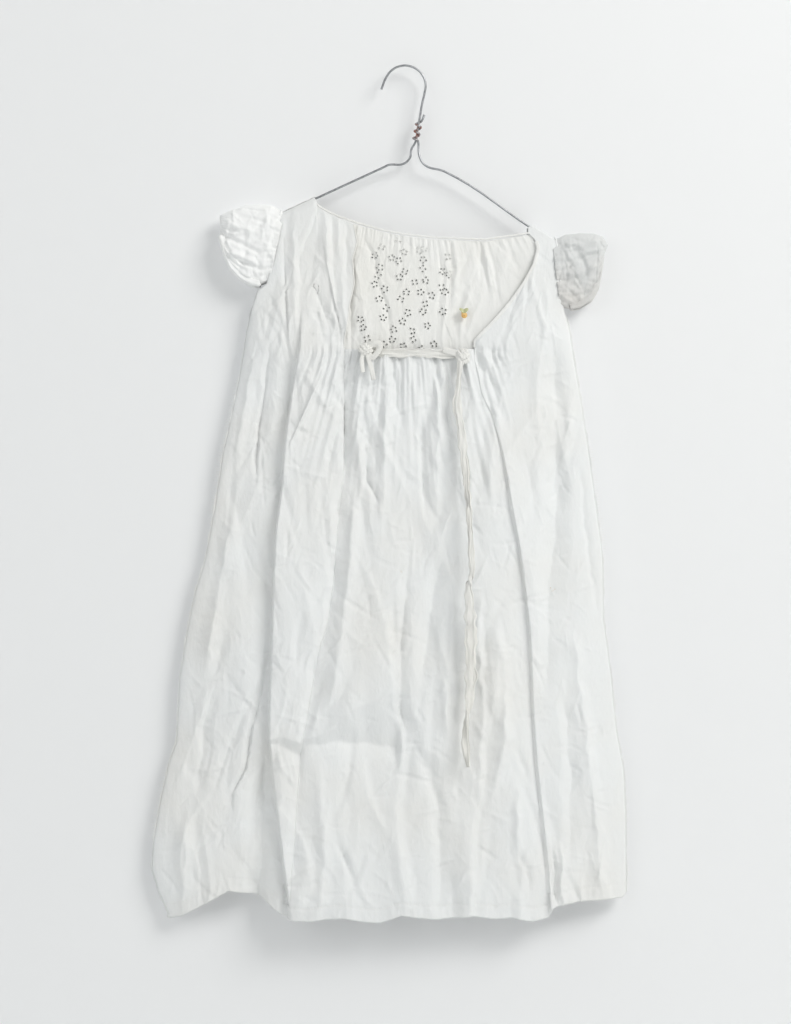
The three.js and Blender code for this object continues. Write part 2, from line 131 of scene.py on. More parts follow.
wall_paint, tree, shader = new_material("wall_paint", (0.84, 0.845, 0.85), 0.85)
clear = tree.nodes.new("ShaderNodeBsdfTransparent")
path = tree.nodes.new("ShaderNodeLightPath")
facing = tree.nodes.new("ShaderNodeNewGeometry")
hidden = math_node(tree, "MAXIMUM", facing.outputs["Backfacing"], path.outputs["Is Shadow Ray"])
blend = tree.nodes.new("ShaderNodeMixShader")
tree.links.new(hidden, blend.inputs["Fac"])
tree.links.new(shader.outputs["BSDF"], blend.inputs[1])
tree.links.new(clear.outputs["BSDF"], blend.inputs[2])
tree.links.new(blend.outputs["Shader"], tree.nodes["Material Output"].inputs["Surface"])
stage_plane("wall", [(-2.4, WALL_PLANE, FLOOR_LEVEL), (2.4, WALL_PLANE, FLOOR_LEVEL),
                     (2.4, WALL_PLANE, 1.4), (-2.4, WALL_PLANE, 1.4)], wall_paint)

floor_paint, tree, shader = new_material("floor_paint", (0.78, 0.79, 0.79), 0.7)
stage_plane("floor", [(-3, -3, FLOOR_LEVEL), (3, -3, FLOOR_LEVEL),
                      (3, 3, FLOOR_LEVEL), (-3, 3, FLOOR_LEVEL)], floor_paint)


# ---- Hanger ----------------------------------------------------------------------------------
# One length of galvanised wire, bent round a former: the hook, the neck, two shoulders and the
# bar inside the gown. Its free end is wound three times round the neck, and is rusty there.

WIRE = 2.4 * MM
HOOK_RADIUS = 22 * MM
NECK_TOP = np.array((16, 0, -52)) * MM
NECK_FOOT = np.array((11, 0, -80)) * MM
TWIST_TURNS = 3
TWIST_RADIUS = WIRE + 0.5 * MM


def flat_points(*pairs):
    return [np.array((x, 0, z)) * MM for x, z in pairs]


hook_points = flat_points((-25, -24))
for degrees in range(155, -21, -25):
    turn = math.radians(degrees)
    hook_points.append(np.array((HOOK_RADIUS * math.cos(turn), 0,
                                 WIRE / 2 - HOOK_RADIUS + HOOK_RADIUS * math.sin(turn))))
hook_points += flat_points((18, -40))
hook_points += [NECK_TOP, (NECK_TOP + NECK_FOOT) / 2, NECK_FOOT]
shoulder_points = flat_points(
    (7, -87), (5, -97), (-2, -103), (-17, -104), (-22, -106.3), (-60, -123.8), (-93, -139),
    (-118, -150.6), (-140, -161), (-181, -180.5), (-188, -186), (-186, -192), (-178, -194.5),
    (-90, -199), (0, -203), (100, -210.5),
    (183, -219), (196, -221), (199, -217), (194, -210.5), (160, -187.5), (134, -171),
    (42, -111), (21, -104), (15.5, -95))
twist_points = []
for i in range(TWIST_TURNS * 8 + 1):
    t = i / (TWIST_TURNS * 8)
    turn = t * TWIST_TURNS * 2 * math.pi
    centre = NECK_FOOT + (NECK_TOP - NECK_FOOT) * (0.02 + 0.8 * t)
    twist_points.append(centre + TWIST_RADIUS * np.array((math.cos(turn), -math.sin(turn), 0)))
twist_points += flat_points((20.5, -51))


def wire_curve(name, points, radius, material, sides=6):
    data = bpy.data.curves.new(name, "CURVE")
    data.dimensions = "3D"
    data.bevel_depth = radius
    data.bevel_resolution = sides
    data.resolution_u = 8
    data.use_fill_caps = True
    spline = data.splines.new("BEZIER")
    spline.bezier_points.add(len(points) - 1)
    for knot, place in zip(spline.bezier_points, points):
        knot.co = place
        knot.handle_left_type = knot.handle_right_type = "AUTO"
    data.materials.append(material)
    obj = bpy.data.objects.new(name, data)
    scene.collection.objects.link(obj)
    return obj


def noise_node(tree, coords, scale, detail=3.0, roughness=0.55):
    node = tree.nodes.new("ShaderNodeTexNoise")
    node.inputs["Scale"].default_value = scale
    node.inputs["Detail"].default_value = detail
    node.inputs["Roughness"].default_value = roughness
    tree.links.new(coords, node.inputs["Vector"])
    return node


def ramp_node(tree, value, stops):
    node = tree.nodes.new("ShaderNodeValToRGB")
    while len(node.color_ramp.elements) < len(stops):
        node.color_ramp.elements.new(0.5)
    for element, (place, colour) in zip(node.color_ramp.elements, stops):
        element.position = place
        element.color = (*colour, 1)
    tree.links.new(value, node.inputs["Fac"])
    return node


def map_range(tree, value, low, high, out_low=0.0, out_high=1.0):
    node = tree.nodes.new("ShaderNodeMapRange")
    for key, number in (("From Min", low), ("From Max", high),
                        ("To Min", out_low), ("To Max", out_high)):
        node.inputs[key].default_value = number
    tree.links.new(value, node.inputs["Value"])
    return node.outputs["Result"]


def mix_colour(tree, factor, first, second, mode="MIX"):
    node = tree.nodes.new("ShaderNodeMix")
    node.data_type = "RGBA"
    node.blend_type = mode
    for socket, value in (("Factor", factor), ("A", first), ("B", second)):
        target = [s for s in node.inputs if s.name == socket and s.enabled][0]
        if isinstance(value, bpy.types.NodeSocket):
            tree.links.new(value, target)
        else:
            target.default_value = value if socket == "Factor" else (*value, 1)
    return [s for s in node.outputs if s.enabled][0]


def bump_node(tree, height, distance, strength=1.0, normal=None):
    node = tree.nodes.new("ShaderNodeBump")
    node.inputs["Strength"].default_value = strength
    node.inputs["Distance"].default_value = distance
    tree.links.new(height, node.inputs["Height"])
    if normal is not None:
        tree.links.new(normal, node.inputs["Normal"])
    return node.outputs["Normal"]


def object_coords(tree):
    return tree.nodes.new("ShaderNodeTexCoord").outputs["Object"]


galvanised, tree, shader = new_material("galvanised_wire", (0.40, 0.41, 0.42), 0.4, 1.0)
coords = object_coords(tree)
split = tree.nodes.new("ShaderNodeSeparateXYZ")
tree.links.new(coords, split.inputs["Vector"])
mottle = noise_node(tree, coords, 420, 4)
grain = ramp_node(tree, mottle.outputs["Fac"],
                  [(0.3, (0.30, 0.31, 0.32)), (0.7, (0.50, 0.51, 0.53))])
rust_low = map_range(tree, split.outputs["Z"], -0.080, -0.072)
rust_high = map_range(tree, split.outputs["Z"], -0.058, -0.064)
rust_patch = map_range(tree, noise_node(tree, coords, 260, 3).outputs["Fac"], 0.42, 0.56)
rust = math_node(tree, "MULTIPLY", math_node(tree, "MULTIPLY", rust_low, rust_high), rust_patch)
tree.links.new(mix_colour(tree, rust, grain.outputs["Color"], (0.36, 0.17, 0.13)),
               shader.inputs["Base Color"])
tree.links.new(map_range(tree, mottle.outputs["Fac"], 0.3, 0.7, 0.30, 0.52),
               shader.inputs["Roughness"])
tree.links.new(bump_node(tree, mottle.outputs["Fac"], 0.0001, 0.4), shader.inputs["Normal"])

hanger = wire_curve("hanger", hook_points + shoulder_points + twist_points, WIRE / 2, galvanised)
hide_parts("hanger_wire")
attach(hanger, "hanger_and_bodice")


# ---- Cotton ----------------------------------------------------------------------------------
# Thin white cotton lawn, washed soft and never ironed: a fine plain weave, sharp small crinkles,
# slight yellowing with age. Its shapes are made here and used by every piece of the gown.

def smooth(t):
    t = np.clip(t, 0, 1)
    return t * t * (3 - 2 * t)


def blend_to(a, b, t):
    return a + (b - a) * t


def follow(points, key):
    """The value of [(key, value), ...], keys rising or falling, straight between neighbours."""
    table = np.array(sorted(points))
    return np.interp(key, table[:, 0], table[:, 1])


LATTICES = {}


def soft_noise(x, z, size_x, size_z, seed):
    """Smooth noise from -1 to 1 with hills about size_x by size_z."""
    if seed not in LATTICES:
        LATTICES[seed] = np.random.default_rng(seed).uniform(0, 2 * math.pi, (64, 64))
    angle = LATTICES[seed]
    u, v = x / size_x + 31.4, z / size_z + 57.7
    i, j = np.floor(u).astype(int), np.floor(v).astype(int)
    s, t = u - i, v - j
    fade_s, fade_t = s ** 3 * (s * (s * 6 - 15) + 10), t ** 3 * (t * (t * 6 - 15) + 10)

    def corner(di, dj):
        a = angle[(i + di) % 64, (j + dj) % 64]
        return np.cos(a) * (s - di) + np.sin(a) * (t - dj)

    near = blend_to(corner(0, 0), corner(1, 0), fade_s)
    far = blend_to(corner(0, 1), corner(1, 1), fade_s)
    return blend_to(near, far, fade_t) * 1.6


def crushed(x, z, seed, count, area, length, width, height, lean):
    """Sharp creases scattered over area (x0, x1, z0, z1), with flat cloth sloping down either side.

    length, width and height are (least, most) in millimetres; lean is how far they turn from plumb.
    """
    rng = np.random.default_rng(seed)
    depth = np.zeros_like(x)
    for _ in range(count):
        cx, cz = rng.uniform(area[0], area[1]), rng.uniform(area[2], area[3])
        turn = rng.normal(0, lean)
        reach, left, right = rng.uniform(*length), rng.uniform(*width), rng.uniform(*width) * 0.6
        tall = rng.uniform(*height) * rng.choice((-1, 1))
        bow = rng.normal(0, 0.15) / reach
        along = (z - cz) * math.cos(turn) + (x - cx) * math.sin(turn)
        near = np.abs(along) < reach
        across = ((x - cx) * math.cos(turn) - (z - cz) * math.sin(turn) - bow * along ** 2)[near]
        flank = np.clip(1 - np.abs(across) / np.where(across < 0, left, right), 0, 1) ** 1.25
        depth[near] += tall * flank * (1 - (along[near] / reach) ** 2)
    return depth


def crease(x, z, line, left, right, height, sharp=1.4):
    """A fold along a line of (z, x) points: height at the line, none left or right of it."""
    zs = [p[0] for p in line]
    low, high = min(zs), max(zs)
    near = np.flatnonzero(((z > low - 30) & (z < high + 30)).ravel())
    px, pz = x.ravel()[near], z.ravel()[near]
    place = line[0][1] * 3.7
    wobble = soft_noise(pz, pz * 0 + place, 26, 9, 301) * 2.6
    wobble = wobble + soft_noise(pz, pz * 0 + place, 9, 9, 302) * 0.9
    offset = px - follow(line, pz) - wobble
    swell = 0.85 + 0.5 * soft_noise(pz, pz * 0 + place, 55, 9, 303)
    width = np.where(offset < 0, left, right) * (0.75 + 0.5 * swell)
    across = np.clip(1 - np.abs(offset) / width, 0, 1) ** sharp
    ends = smooth((pz - low + 25) / 50) * smooth((high - pz + 25) / 50)
    depth = np.zeros(x.size)
    depth[near] = height * across * ends * swell
    return depth.reshape(x.shape)


def step(x, z, line, left, right, height, width=5.0):
    """A fold that laps over: cloth to the right of the line stands ahead of that to its left."""
    zs = [p[0] for p in line]
    low, high = min(zs), max(zs)
    offset = x - follow(line, z)
    ends = smooth((z - low + 30) / 60) * smooth((high - z + 20) / 130)
    ahead = np.where(offset > 0, np.exp(-offset / right), 0)
    behind = np.where(offset < 0, np.exp(offset / left), 0)
    turn = smooth(offset / width + 0.5)
    return height * ends * (ahead * turn - behind * (1 - turn) * 0.7)


def link_mesh(name, bm, material):
    mesh = bpy.data.meshes.new(name)
    bm.to_mesh(mesh)
    bm.free()
    for polygon in mesh.polygons:
        polygon.use_smooth = True
    mesh.materials.append(material)
    obj = bpy.data.objects.new(name, mesh)
    scene.collection.objects.link(obj)
    return obj


def set_places(bm, places):
    for vert, place in zip(bm.verts, places):
        vert.co = place


def cloth_grid(columns, rows, place):
    """A sheet of quads. place(u, v) gives x, y, z in millimetres, u to the right, v downwards."""
    bm = bmesh.new()
    bmesh.ops.create_grid(bm, x_segments=columns, y_segments=rows, size=0.5)
    flat = np.array([v.co for v in bm.verts])
    x, y, z = place(flat[:, 0] + 0.5, 0.5 - flat[:, 1])
    set_places(bm, np.column_stack((x, y, z)) * MM)
    return bm


CLOTH = 0.45 * MM


def thicken(obj, thickness=CLOTH):
    modifier = obj.modifiers.new("cloth_thickness", "SOLIDIFY")
    modifier.thickness = thickness
    modifier.offset = -1
    modifier.use_even_offset = False
    return obj


def height_group(name, *numbers):
    """A node group that puts out a height for Coords and the named numbers."""
    group = bpy.data.node_groups.new(name, "ShaderNodeTree")
    group.interface.new_socket("Coords", in_out="INPUT", socket_type="NodeSocketVector")
    for number in numbers:
        group.interface.new_socket(number, in_out="INPUT", socket_type="NodeSocketFloat")
    group.interface.new_socket("Height", in_out="OUTPUT", socket_type="NodeSocketFloat")
    given = group.nodes.new("NodeGroupInput").outputs
    return group, given, group.nodes.new("NodeGroupOutput").inputs["Height"]


def group_height(tree, group, coords):
    node = tree.nodes.new("ShaderNodeGroup")
    node.node_tree = group
    tree.links.new(coords, node.inputs["Coords"])
    return node


weave, given, height = height_group("plain_weave", "Threads")
split = weave.nodes.new("ShaderNodeSeparateXYZ")
weave.links.new(given["Coords"], split.inputs["Vector"])
threads = []
for axis in ("X", "Z"):
    run = math_node(weave, "MULTIPLY", split.outputs[axis], given["Threads"])
    threads.append(math_node(weave, "SINE", run))
weave.links.new(math_node(weave, "MULTIPLY", *threads), height)

crinkle, given, height = height_group("fine_crinkle")
stretched = crinkle.nodes.new("ShaderNodeMapping")
stretched.inputs["Scale"].default_value = (1, 0.5, 0.45)
crinkle.links.new(given["Coords"], stretched.inputs["Vector"])
ridges = []
for scale in (95, 240):
    noise = noise_node(crinkle, stretched.outputs["Vector"], scale, 3, 0.5)
    centred = math_node(crinkle, "SUBTRACT", noise.outputs["Fac"], 0.5)
    ridges.append(math_node(crinkle, "ABSOLUTE", centred))
crinkle.links.new(math_node(crinkle, "MULTIPLY_ADD", ridges[1], 0.45, ridges[0]), height)

THREADS_PER_METRE = 5200


def cotton(name, colour, aged, crush, stain=0.0):
    """Cotton of that colour, yellowed to aged in soft clouds; stain adds small rusty specks."""
    material, tree, shader = new_material(name, colour, 0.88)
    shader.inputs["Sheen Weight"].default_value = 0.15
    shader.inputs["Specular IOR Level"].default_value = 0.25
    coords = object_coords(tree)
    clouds = noise_node(tree, coords, 7, 4)
    cloud_mask = map_range(tree, clouds.outputs["Fac"], 0.42, 0.7)
    tint = mix_colour(tree, cloud_mask, colour, aged)
    if stain:
        specks = tree.nodes.new("ShaderNodeTexVoronoi")
        specks.inputs["Scale"].default_value = 11
        ragged = mix_colour(tree, 0.012, coords, noise_node(tree, coords, 500, 2).outputs["Color"])
        tree.links.new(ragged, specks.inputs["Vector"])
        dots = map_range(tree, specks.outputs["Distance"], 0.008, 0.02, stain, 0.0)
        tint = mix_colour(tree, dots, tint, (0.55, 0.36, 0.16))
    tree.links.new(tint, shader.inputs["Base Color"])
    rough = map_range(tree, clouds.outputs["Fac"], 0.3, 0.7, 0.82, 0.93)
    tree.links.new(rough, shader.inputs["Roughness"])
    thread_node = group_height(tree, weave, coords)
    thread_node.inputs["Threads"].default_value = THREADS_PER_METRE
    crinkled = group_height(tree, crinkle, coords).outputs["Height"]
    tree.links.new(bump_node(tree, thread_node.outputs["Height"], 0.00004, 0.4,
                             bump_node(tree, crinkled, crush)),
                   shader.inputs["Normal"])
    return material


gown_cotton = cotton("gown_cotton", (0.80, 0.812, 0.81), (0.79, 0.787, 0.765), crush=0.0012,
                     stain=0.7)
yoke_cotton = cotton("yoke_cotton", (0.82, 0.82, 0.80), (0.80, 0.79, 0.75), crush=0.0012)


# ---- Front of the gown -----------------------------------------------------------------------
# The outer front: two side fronts that run from the shoulder to the hem, and the gathered centre
# front below the band. They are sewn in long seams, which lie in the folds.

LEFT_EDGE = [
    (-231, -146), (-238, -155), (-257, -162), (-282, -167.5), (-324, -174), (-381, -186),
    (-407, -192), (-469, -201.5), (-522, -211.5), (-558, -222.5), (-589, -229), (-647, -238.5),
    (-715, -242), (-737, -250), (-779, -259), (-818, -266), (-848, -268), (-870, -262), (-900, -249)]
RIGHT_EDGE = [
    (-257, 168), (-278, 174.5), (-311, 179.5), (-357, 187), (-403, 194), (-458, 201.5),
    (-518, 209.5), (-585, 210.5), (-640, 218), (-701, 224), (-745, 232), (-791, 234), (-900, 234.5)]
LEFT_PANEL_EDGE = [
    (-140, -56), (-167, -54), (-187, -50), (-205, -55), (-231, -53), (-250, -57.5), (-272, -60),
    (-292, -64), (-424, -64), (-469, -69), (-553, -76), (-592, -82), (-622, -91.6), (-690, -103),
    (-727, -110), (-803, -114.5), (-881, -121), (-905, -122)]
RIGHT_PANEL_EDGE = [
    (-160, 129), (-177, 130), (-184, 137), (-193, 140), (-211, 135.5), (-230, 125), (-251, 110),
    (-268, 95.5), (-291, 73), (-310, 73), (-348, 81), (-371, 92), (-404, 101), (-439, 108),
    (-502, 119.5), (-552, 126), (-599, 131), (-677, 134), (-737, 138), (-800, 145), (-850, 150),
    (-905, 154)]
HEM_LINE = [
    (-262, -897), (-249, -900), (-236, -898), (-219, -889), (-195, -875.5), (-186, -870),
    (-175, -872), (-160, -873.5), (-147, -881), (-132, -893.5), (-120, -900), (-100, -901),
    (-80, -898), (-63, -897), (-45, -901), (-26, -902.5), (-4, -894.5), (15, -897), (32, -898.5),
    (71, -895.5), (95, -899), (113, -897.5), (133, -902), (152, -898), (155, -888), (168, -884.5),
    (184, -882), (230, -879), (234, -873.5)]
SHOULDER_LEFT = [(-188, -183), (-140, -161), (-93, -139)]
SHOULDER_RIGHT = [(128, -174), (134, -171.5), (160, -187.5), (199, -215)]
NECKLINE = [
    (-110, -150), (-94, -146), (-88, -151), (-72, -159), (-52, -166), (-24, -174), (0, -178.5),
    (33, -182), (86, -184), (97, -182), (132, -177), (145, -178)]
ARMHOLE_LEFT = [(-150, -130), (-164, -132), (-190, -136.5), (-216, -142), (-231, -146)]
ARMHOLE_RIGHT = [(-181, 158), (-208, 162), (-224, 163.5), (-257, 168)]
WAIST = -310
SKIRT_FULLNESS = 12
GOWN_AREA = (-275, 240, -905, -150)
FOLD_SPREAD, FOLD_HEIGHT = 1.05, 2.25
BODICE_FOLD_HEIGHT = 0.8
SHARP_FOLD_HEIGHT = 1.3

MAIN_FOLD = [
    (-258, -109), (-299, -111), (-344, -119), (-401, -127), (-447, -130), (-492, -136),
    (-553, -139), (-598, -140), (-645, -142), (-708, -143), (-747, -140), (-781, -135),
    (-838, -128), (-883, -122), (-905, -122)]
PRINCESS_FOLD = [
    (-348, 81), (-371, 92), (-404, 101), (-439, 108), (-468, 111), (-502, 119), (-552, 126),
    (-599, 131), (-648, 133), (-677, 134), (-737, 138), (-800, 145), (-850, 150), (-905, 154)]
HEM_STEP = [(-845, -62), (-905, -59)]
LONG_FOLDS = [
    ([(-301, -142), (-342, -147), (-379, -153), (-424, -156)], 5, 11, -2.6),
    ([(-622, -144), (-676, -153), (-701, -161), (-740, -166), (-768, -181)], 7, 12, -3.0),
    ([(-310, -160), (-415, -180)], 11, 8, 2.4),
    ([(-723, -148), (-805, -150), (-900, -154)], 20, 15, -5.0),
    ([(-727, -110), (-803, -114), (-881, -121)], 9, 12, -2.4),
    ([(-319, -85), (-399, -121)], 11, 4, 2.4), ([(-372, -69), (-426, -82)], 4, 8, -1.8),
    ([(-228, -96), (-281, -78)], 4, 9, -2.4), ([(-210, -78), (-272, -74), (-287, -76)], 5, 7, 2.0),
    ([(-292, -66), (-424, -64), (-469, -69), (-553, -76), (-592, -82), (-622, -92),
      (-690, -103)], 7, 16, -2.6),
    ([(-333, -51), (-427, -49), (-522, -58), (-606, -67), (-669, -79)], 9, 9, 2.2),
    ([(-379, -41), (-438, -39), (-458, -28)], 6, 6, -2.0),
    ([(-314, -21), (-385, -21), (-462, -22)], 9, 8, 2.2), ([(-313, -10), (-377, -6)], 5, 6, -2.0),
    ([(-320, 28), (-348, 34), (-450, 34)], 7, 6, 2.0), ([(-382, 15), (-459, 19)], 4, 6, -2.0),
    ([(-541, 3), (-614, -3)], 6, 8, -2.2),
    ([(-576, -12), (-645, -9), (-682, -6), (-702, -1)], 5, 11, -2.6),
    ([(-459, 51), (-500, 40)], 8, 6, 2.2),
    ([(-519, 39), (-575, 28), (-632, 19), (-671, 18)], 10, 11, -2.6),
    ([(-553, 52), (-627, 46), (-700, 43)], 10, 7, 2.2),
    ([(-605, 98), (-639, 105), (-712, 105), (-769, 92)], 12, 8, 3.0),
    ([(-564, 77), (-700, 81), (-769, 78), (-800, 70), (-894, 70)], 16, 5, 2.6),
    ([(-718, 117), (-751, 129)], 5, 6, -2.2), ([(-769, 119), (-827, 119)], 6, 6, 2.2),
    ([(-831, 121), (-862, 133)], 4, 6, -2.4), ([(-820, -69), (-865, -53)], 4, 6, -2.2),
    ([(-732, -5), (-805, -9), (-879, -1)], 10, 9, 2.0),
    ([(-742, 28), (-816, 37), (-884, 35)], 8, 10, -2.2),
    ([(-753, -89), (-837, -84), (-895, -91)], 12, 9, 2.2),
    ([(-302, 159), (-396, 160), (-496, 159), (-564, 151), (-648, 150)], 15, 15, -3.0),
    ([(-304, 72), (-323, 83)], 3, 7, -2.4),
    ([(-439, 187), (-487, 190), (-507, 192), (-582, 204)], 4, 6, -1.8),
    ([(-606, 178), (-700, 190), (-795, 201), (-868, 207)], 12, 9, 2.4),
    ([(-669, 169), (-753, 175), (-826, 173)], 7, 9, -2.2),
    ([(-826, 155), (-882, 159)], 3, 4, -2.0), ([(-822, 163), (-879, 166)], 3, 4, 1.8),
    ([(-480, -184), (-564, -198), (-627, -209)], 10, 12, 2.2),
    ([(-606, -192), (-690, -210), (-763, -219)], 10, 9, -2.2),
    ([(-795, -230), (-884, -234)], 9, 9, 2.2)]
BODICE_FOLDS = [
    ([(-150, -94), (-172, -97), (-185, -105), (-213, -111), (-262, -111)], 3, 15, -3.6),
    ([(-160, -127), (-218, -125.4), (-250, -124), (-300, -122)], 5, 11, -3.4),
    ([(-165, -116.5), (-230, -117), (-280, -116)], 7, 5, 2.8),
    ([(-158, -84), (-190, -82), (-225, -81)], 8, 5, 3.2), ([(-163, -70), (-200, -69)], 5, 5, 2.4),
    ([(-160, -77), (-205, -76)], 3, 5, -2.6), ([(-164, -62), (-220, -62)], 3, 5, -2.6),
    ([(-215, -76), (-261, -71.5), (-285, -66)], 4, 7, -3.2),
    ([(-242, -95), (-256, -87), (-279, -75.6)], 5, 8, -2.2),
    ([(-225, -66), (-262, -64), (-290, -60)], 6, 4, 2.6),
    ([(-225, -137), (-300, -150)], 6, 9, -2.2),
    ([(-190, 150), (-240, 148), (-300, 152)], 9, 7, 2.2),
    ([(-205, 140), (-250, 126), (-285, 104)], 8, 4, 2.0),
    ([(-250, 118), (-300, 96), (-330, 90)], 4, 9, -2.6), ([(-262, 140), (-330, 146)], 8, 6, -2.2)]
SHARP_FOLDS = [
    ([(-172, -96), (-195, -110)], 2.4), ([(-180, -128), (-238, -125), (-277, -123)], 2.2),
    ([(-221, -76), (-288, -69)], -2.2),
    ([(-181, -87), (-209, -83), (-249, -75), (-280, -67)], 2.0), ([(-253, 150), (-300, 158)], 2.0),
    ([(-215, 133), (-262, 112)], 1.6), ([(-319, -85), (-399, -121)], 2.6),
    ([(-372, -69), (-426, -82)], -2.2),
    ([(-301, -142), (-342, -147), (-379, -153), (-424, -156)], 2.4),
    ([(-622, -144), (-676, -153), (-701, -161), (-740, -166), (-768, -181)], 2.6),
    ([(-292, -66), (-424, -64)], -1.8), ([(-382, 15), (-459, 19)], -2.2),
    ([(-541, 3), (-614, -3)], 2.2), ([(-576, -12), (-645, -9), (-682, -6), (-702, -1)], -2.6),
    ([(-800, 70), (-894, 70)], -2.4), ([(-831, 121), (-862, 133)], 2.6),
    ([(-304, 72), (-323, 83)], 2.6), ([(-379, -41), (-438, -39), (-458, -28)], 2.2),
    ([(-228, -96), (-281, -78)], 2.2), ([(-820, -69), (-865, -53)], -2.4),
    ([(-565, -212), (-595, -183)], -1.6), ([(-498, 30), (-509, 45)], 2.0)]
LEDGES = [
    ([(-150, -707), (-143, -709), (-121, -710), (-111, -712), (-89, -703), (-64, -686), (-39, -672),
      (-14, -658), (-3, -655)],
     [(-150, -708), (-143, -712), (-126, -720), (-111, -727), (-105, -716), (-77, -712), (-39, -715),
      (-17, -717), (-3, -722)], 17.0),
    ([(9, -712), (17, -716), (35, -726), (56, -721), (63, -717)],
     [(9, -722), (17, -732), (35, -750), (56, -745), (63, -729)], 7.0)]


def left_edge(z):
    return np.where(z > -231, follow(ARMHOLE_LEFT, z), follow(LEFT_EDGE, z))


def right_edge(z):
    return np.where(z > -257, follow(ARMHOLE_RIGHT, z), follow(RIGHT_EDGE, z))


def ledge(x, z, upper, lower, height):
    """Cloth that bags out over one line, and is folded in again along a lower one."""
    high, low = follow(upper, x), follow(lower, x)
    gap = np.maximum(high - low, 1.5)
    ends = smooth((x - upper[0][0]) / 14) * smooth((upper[-1][0] - x) / 7)
    above = 0.45 * np.exp(-np.maximum(z - high, 0) / 60)
    below = -0.55 * np.exp(-np.maximum(low - z, 0) / 24)
    folded = blend_to(above, below, np.clip((high - z) / gap, 0, 1))
    return height * np.clip(gap / 30, 0.25, 1) * ends * folded


HEM_DEPTH = 14


def hem_line(x):
    return follow(HEM_LINE, x)


def skirt_folds(x, z):
    """Depth of the long folds below the bust, towards the viewer, in millimetres."""
    depth = step(x, z, MAIN_FOLD, 15, 60, 8.5, 2.6)
    depth += step(x, z, PRINCESS_FOLD, 17, 14, 3.2, 3.2)
    depth += step(x, z, HEM_STEP, 20, 16, -3.5)
    for line, left, right, height in LONG_FOLDS:
        depth += crease(x, z, line, left * FOLD_SPREAD, right * FOLD_SPREAD, height * FOLD_HEIGHT)
    for upper, lower, height in LEDGES:
        depth += ledge(x, z + 3 * soft_noise(x, z, 22, 60, 74), upper, lower, height)
    depth += soft_noise(x + 0.1 * z, z, 30, 230, 71) * 2.2 * smooth((-300 - z) / 300)
    turned = z - hem_line(x) - HEM_DEPTH
    pucker = soft_noise(x, z, 5, 60, 73) * 0.8
    depth += pucker * np.exp(-np.abs(turned + 7) / 8) - 0.6 * np.exp(-(turned / 1.3) ** 2)
    return depth


def gathers(x, z, top, fade, seed, size):
    """Tight folds that run down from a gathered edge at height top and fade out."""
    below = np.maximum(top - z, 0)
    spread = 1 + below / 260
    wide = soft_noise(x / spread, z, size, 120, seed)
    narrow = soft_noise(x / spread, z, size * 0.55, 60, seed + 1)
    return (wide + 0.8 * narrow) * 3.2 * np.exp(-below / fade)


def front_crush(x, z):
    depth = crushed(x, z, 11, 210, GOWN_AREA, (26, 95), (6, 19), (0.8, 2.8), 0.3)
    depth += crushed(x, z, 12, 420, GOWN_AREA, (9, 32), (2.5, 6.5), (0.5, 1.5), 0.8)
    depth += crushed(x, z, 13, 1300, GOWN_AREA, (4, 17), (1.5, 4), (0.3, 1.0), 1.1)
    return depth


def front_depth(x, z):
    """y of the outer front in millimetres; the viewer is at -y."""
    left, right = left_edge(z), right_edge(z)
    across = np.clip((x - left) / (right - left), 0, 1)
    round_side = np.sin(math.pi * across) ** 0.6
    drop = smooth((WAIST - z) / 420)
    skirt = blend_to(-0.6, -16.5 - SKIRT_FULLNESS * drop, round_side)
    side = blend_to(-10, -0.6, smooth((-235 - z) / 45))
    chest = blend_to(-13, -16.5, smooth((-200 - z) / 110))
    bodice = blend_to(side, chest, np.sqrt(np.clip(np.sin(math.pi * across) * 3, 0, 1)))
    base = blend_to(bodice, skirt, smooth((-285 - z) / 60))
    edge_calm = smooth(np.minimum(across, 1 - across) * 14 + 0.12)
    folds = skirt_folds(x, z) * smooth((-225 - z) / 60)
    under_band = smooth((x + 125) / 40) * smooth((120 - x) / 30) * smooth((-292 - z) / 14)
    folds += gathers(x, z, -306, 85, 81, 6.2) * under_band
    folds += sum(crease(x, z, line, left, right, height * BODICE_FOLD_HEIGHT)
                 for line, left, right, height in BODICE_FOLDS)
    folds += sum(step(x, z, line, 11, 9, height * SHARP_FOLD_HEIGHT, 1.2)
                 for line, height in SHARP_FOLDS)
    folds += front_crush(x, z) * (0.45 + 0.55 * smooth((-170 - z) / 90))
    ridge = np.where(x < 0, follow(SHOULDER_LEFT, x), follow(SHOULDER_RIGHT, x)) + 2.2
    below_ridge = np.where((x < -92) | (x > 128), np.clip((ridge - z) / 13, 0, 1), 1)
    over = np.sqrt(1 - (1 - below_ridge) ** 2)
    base = blend_to(-1.4, base, over)
    edge_calm = edge_calm * (0.15 + 0.85 * over)
    under_neck = np.where(x > -93, follow(NECKLINE, x) - z, 99)
    base = blend_to(-9.8, base, smooth(under_neck / 38 + 0.05))
    return base - folds * edge_calm * smooth(under_neck / 9 + 0.05)


def between(left, right, head, foot, depth):
    """place(u, v) for a panel between two edges x(z) and two lines z(x), at y = depth(x, z)."""
    def place(u, v):
        z = blend_to(head(u * 0), foot(u * 0), v)
        for _ in range(14):
            x = blend_to(left(z), right(z), u)
            z = blend_to(head(x), foot(x), v)
        return x, depth(x, z), z
    return place


def tucked_depth(x, z):
    """The centre front, whose sewn edges pass behind the side fronts."""
    left, right = follow(LEFT_PANEL_EDGE, z), follow(RIGHT_PANEL_EDGE, z)
    return front_depth(x, z) + 0.8 * (2 - smooth((x - left + 1) / 4) - smooth((right + 1 - x) / 4))


def sewn(obj, nodes, crosses=True):
    """Cloth of the gown: given its thickness, with the parts it stands for hidden, and, where it
    crosses from the bodice into the skirt, with its place baked into the mesh.
    """
    thicken(obj)
    if nodes:
        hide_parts(*nodes)
    if crosses:
        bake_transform(obj)
    return obj


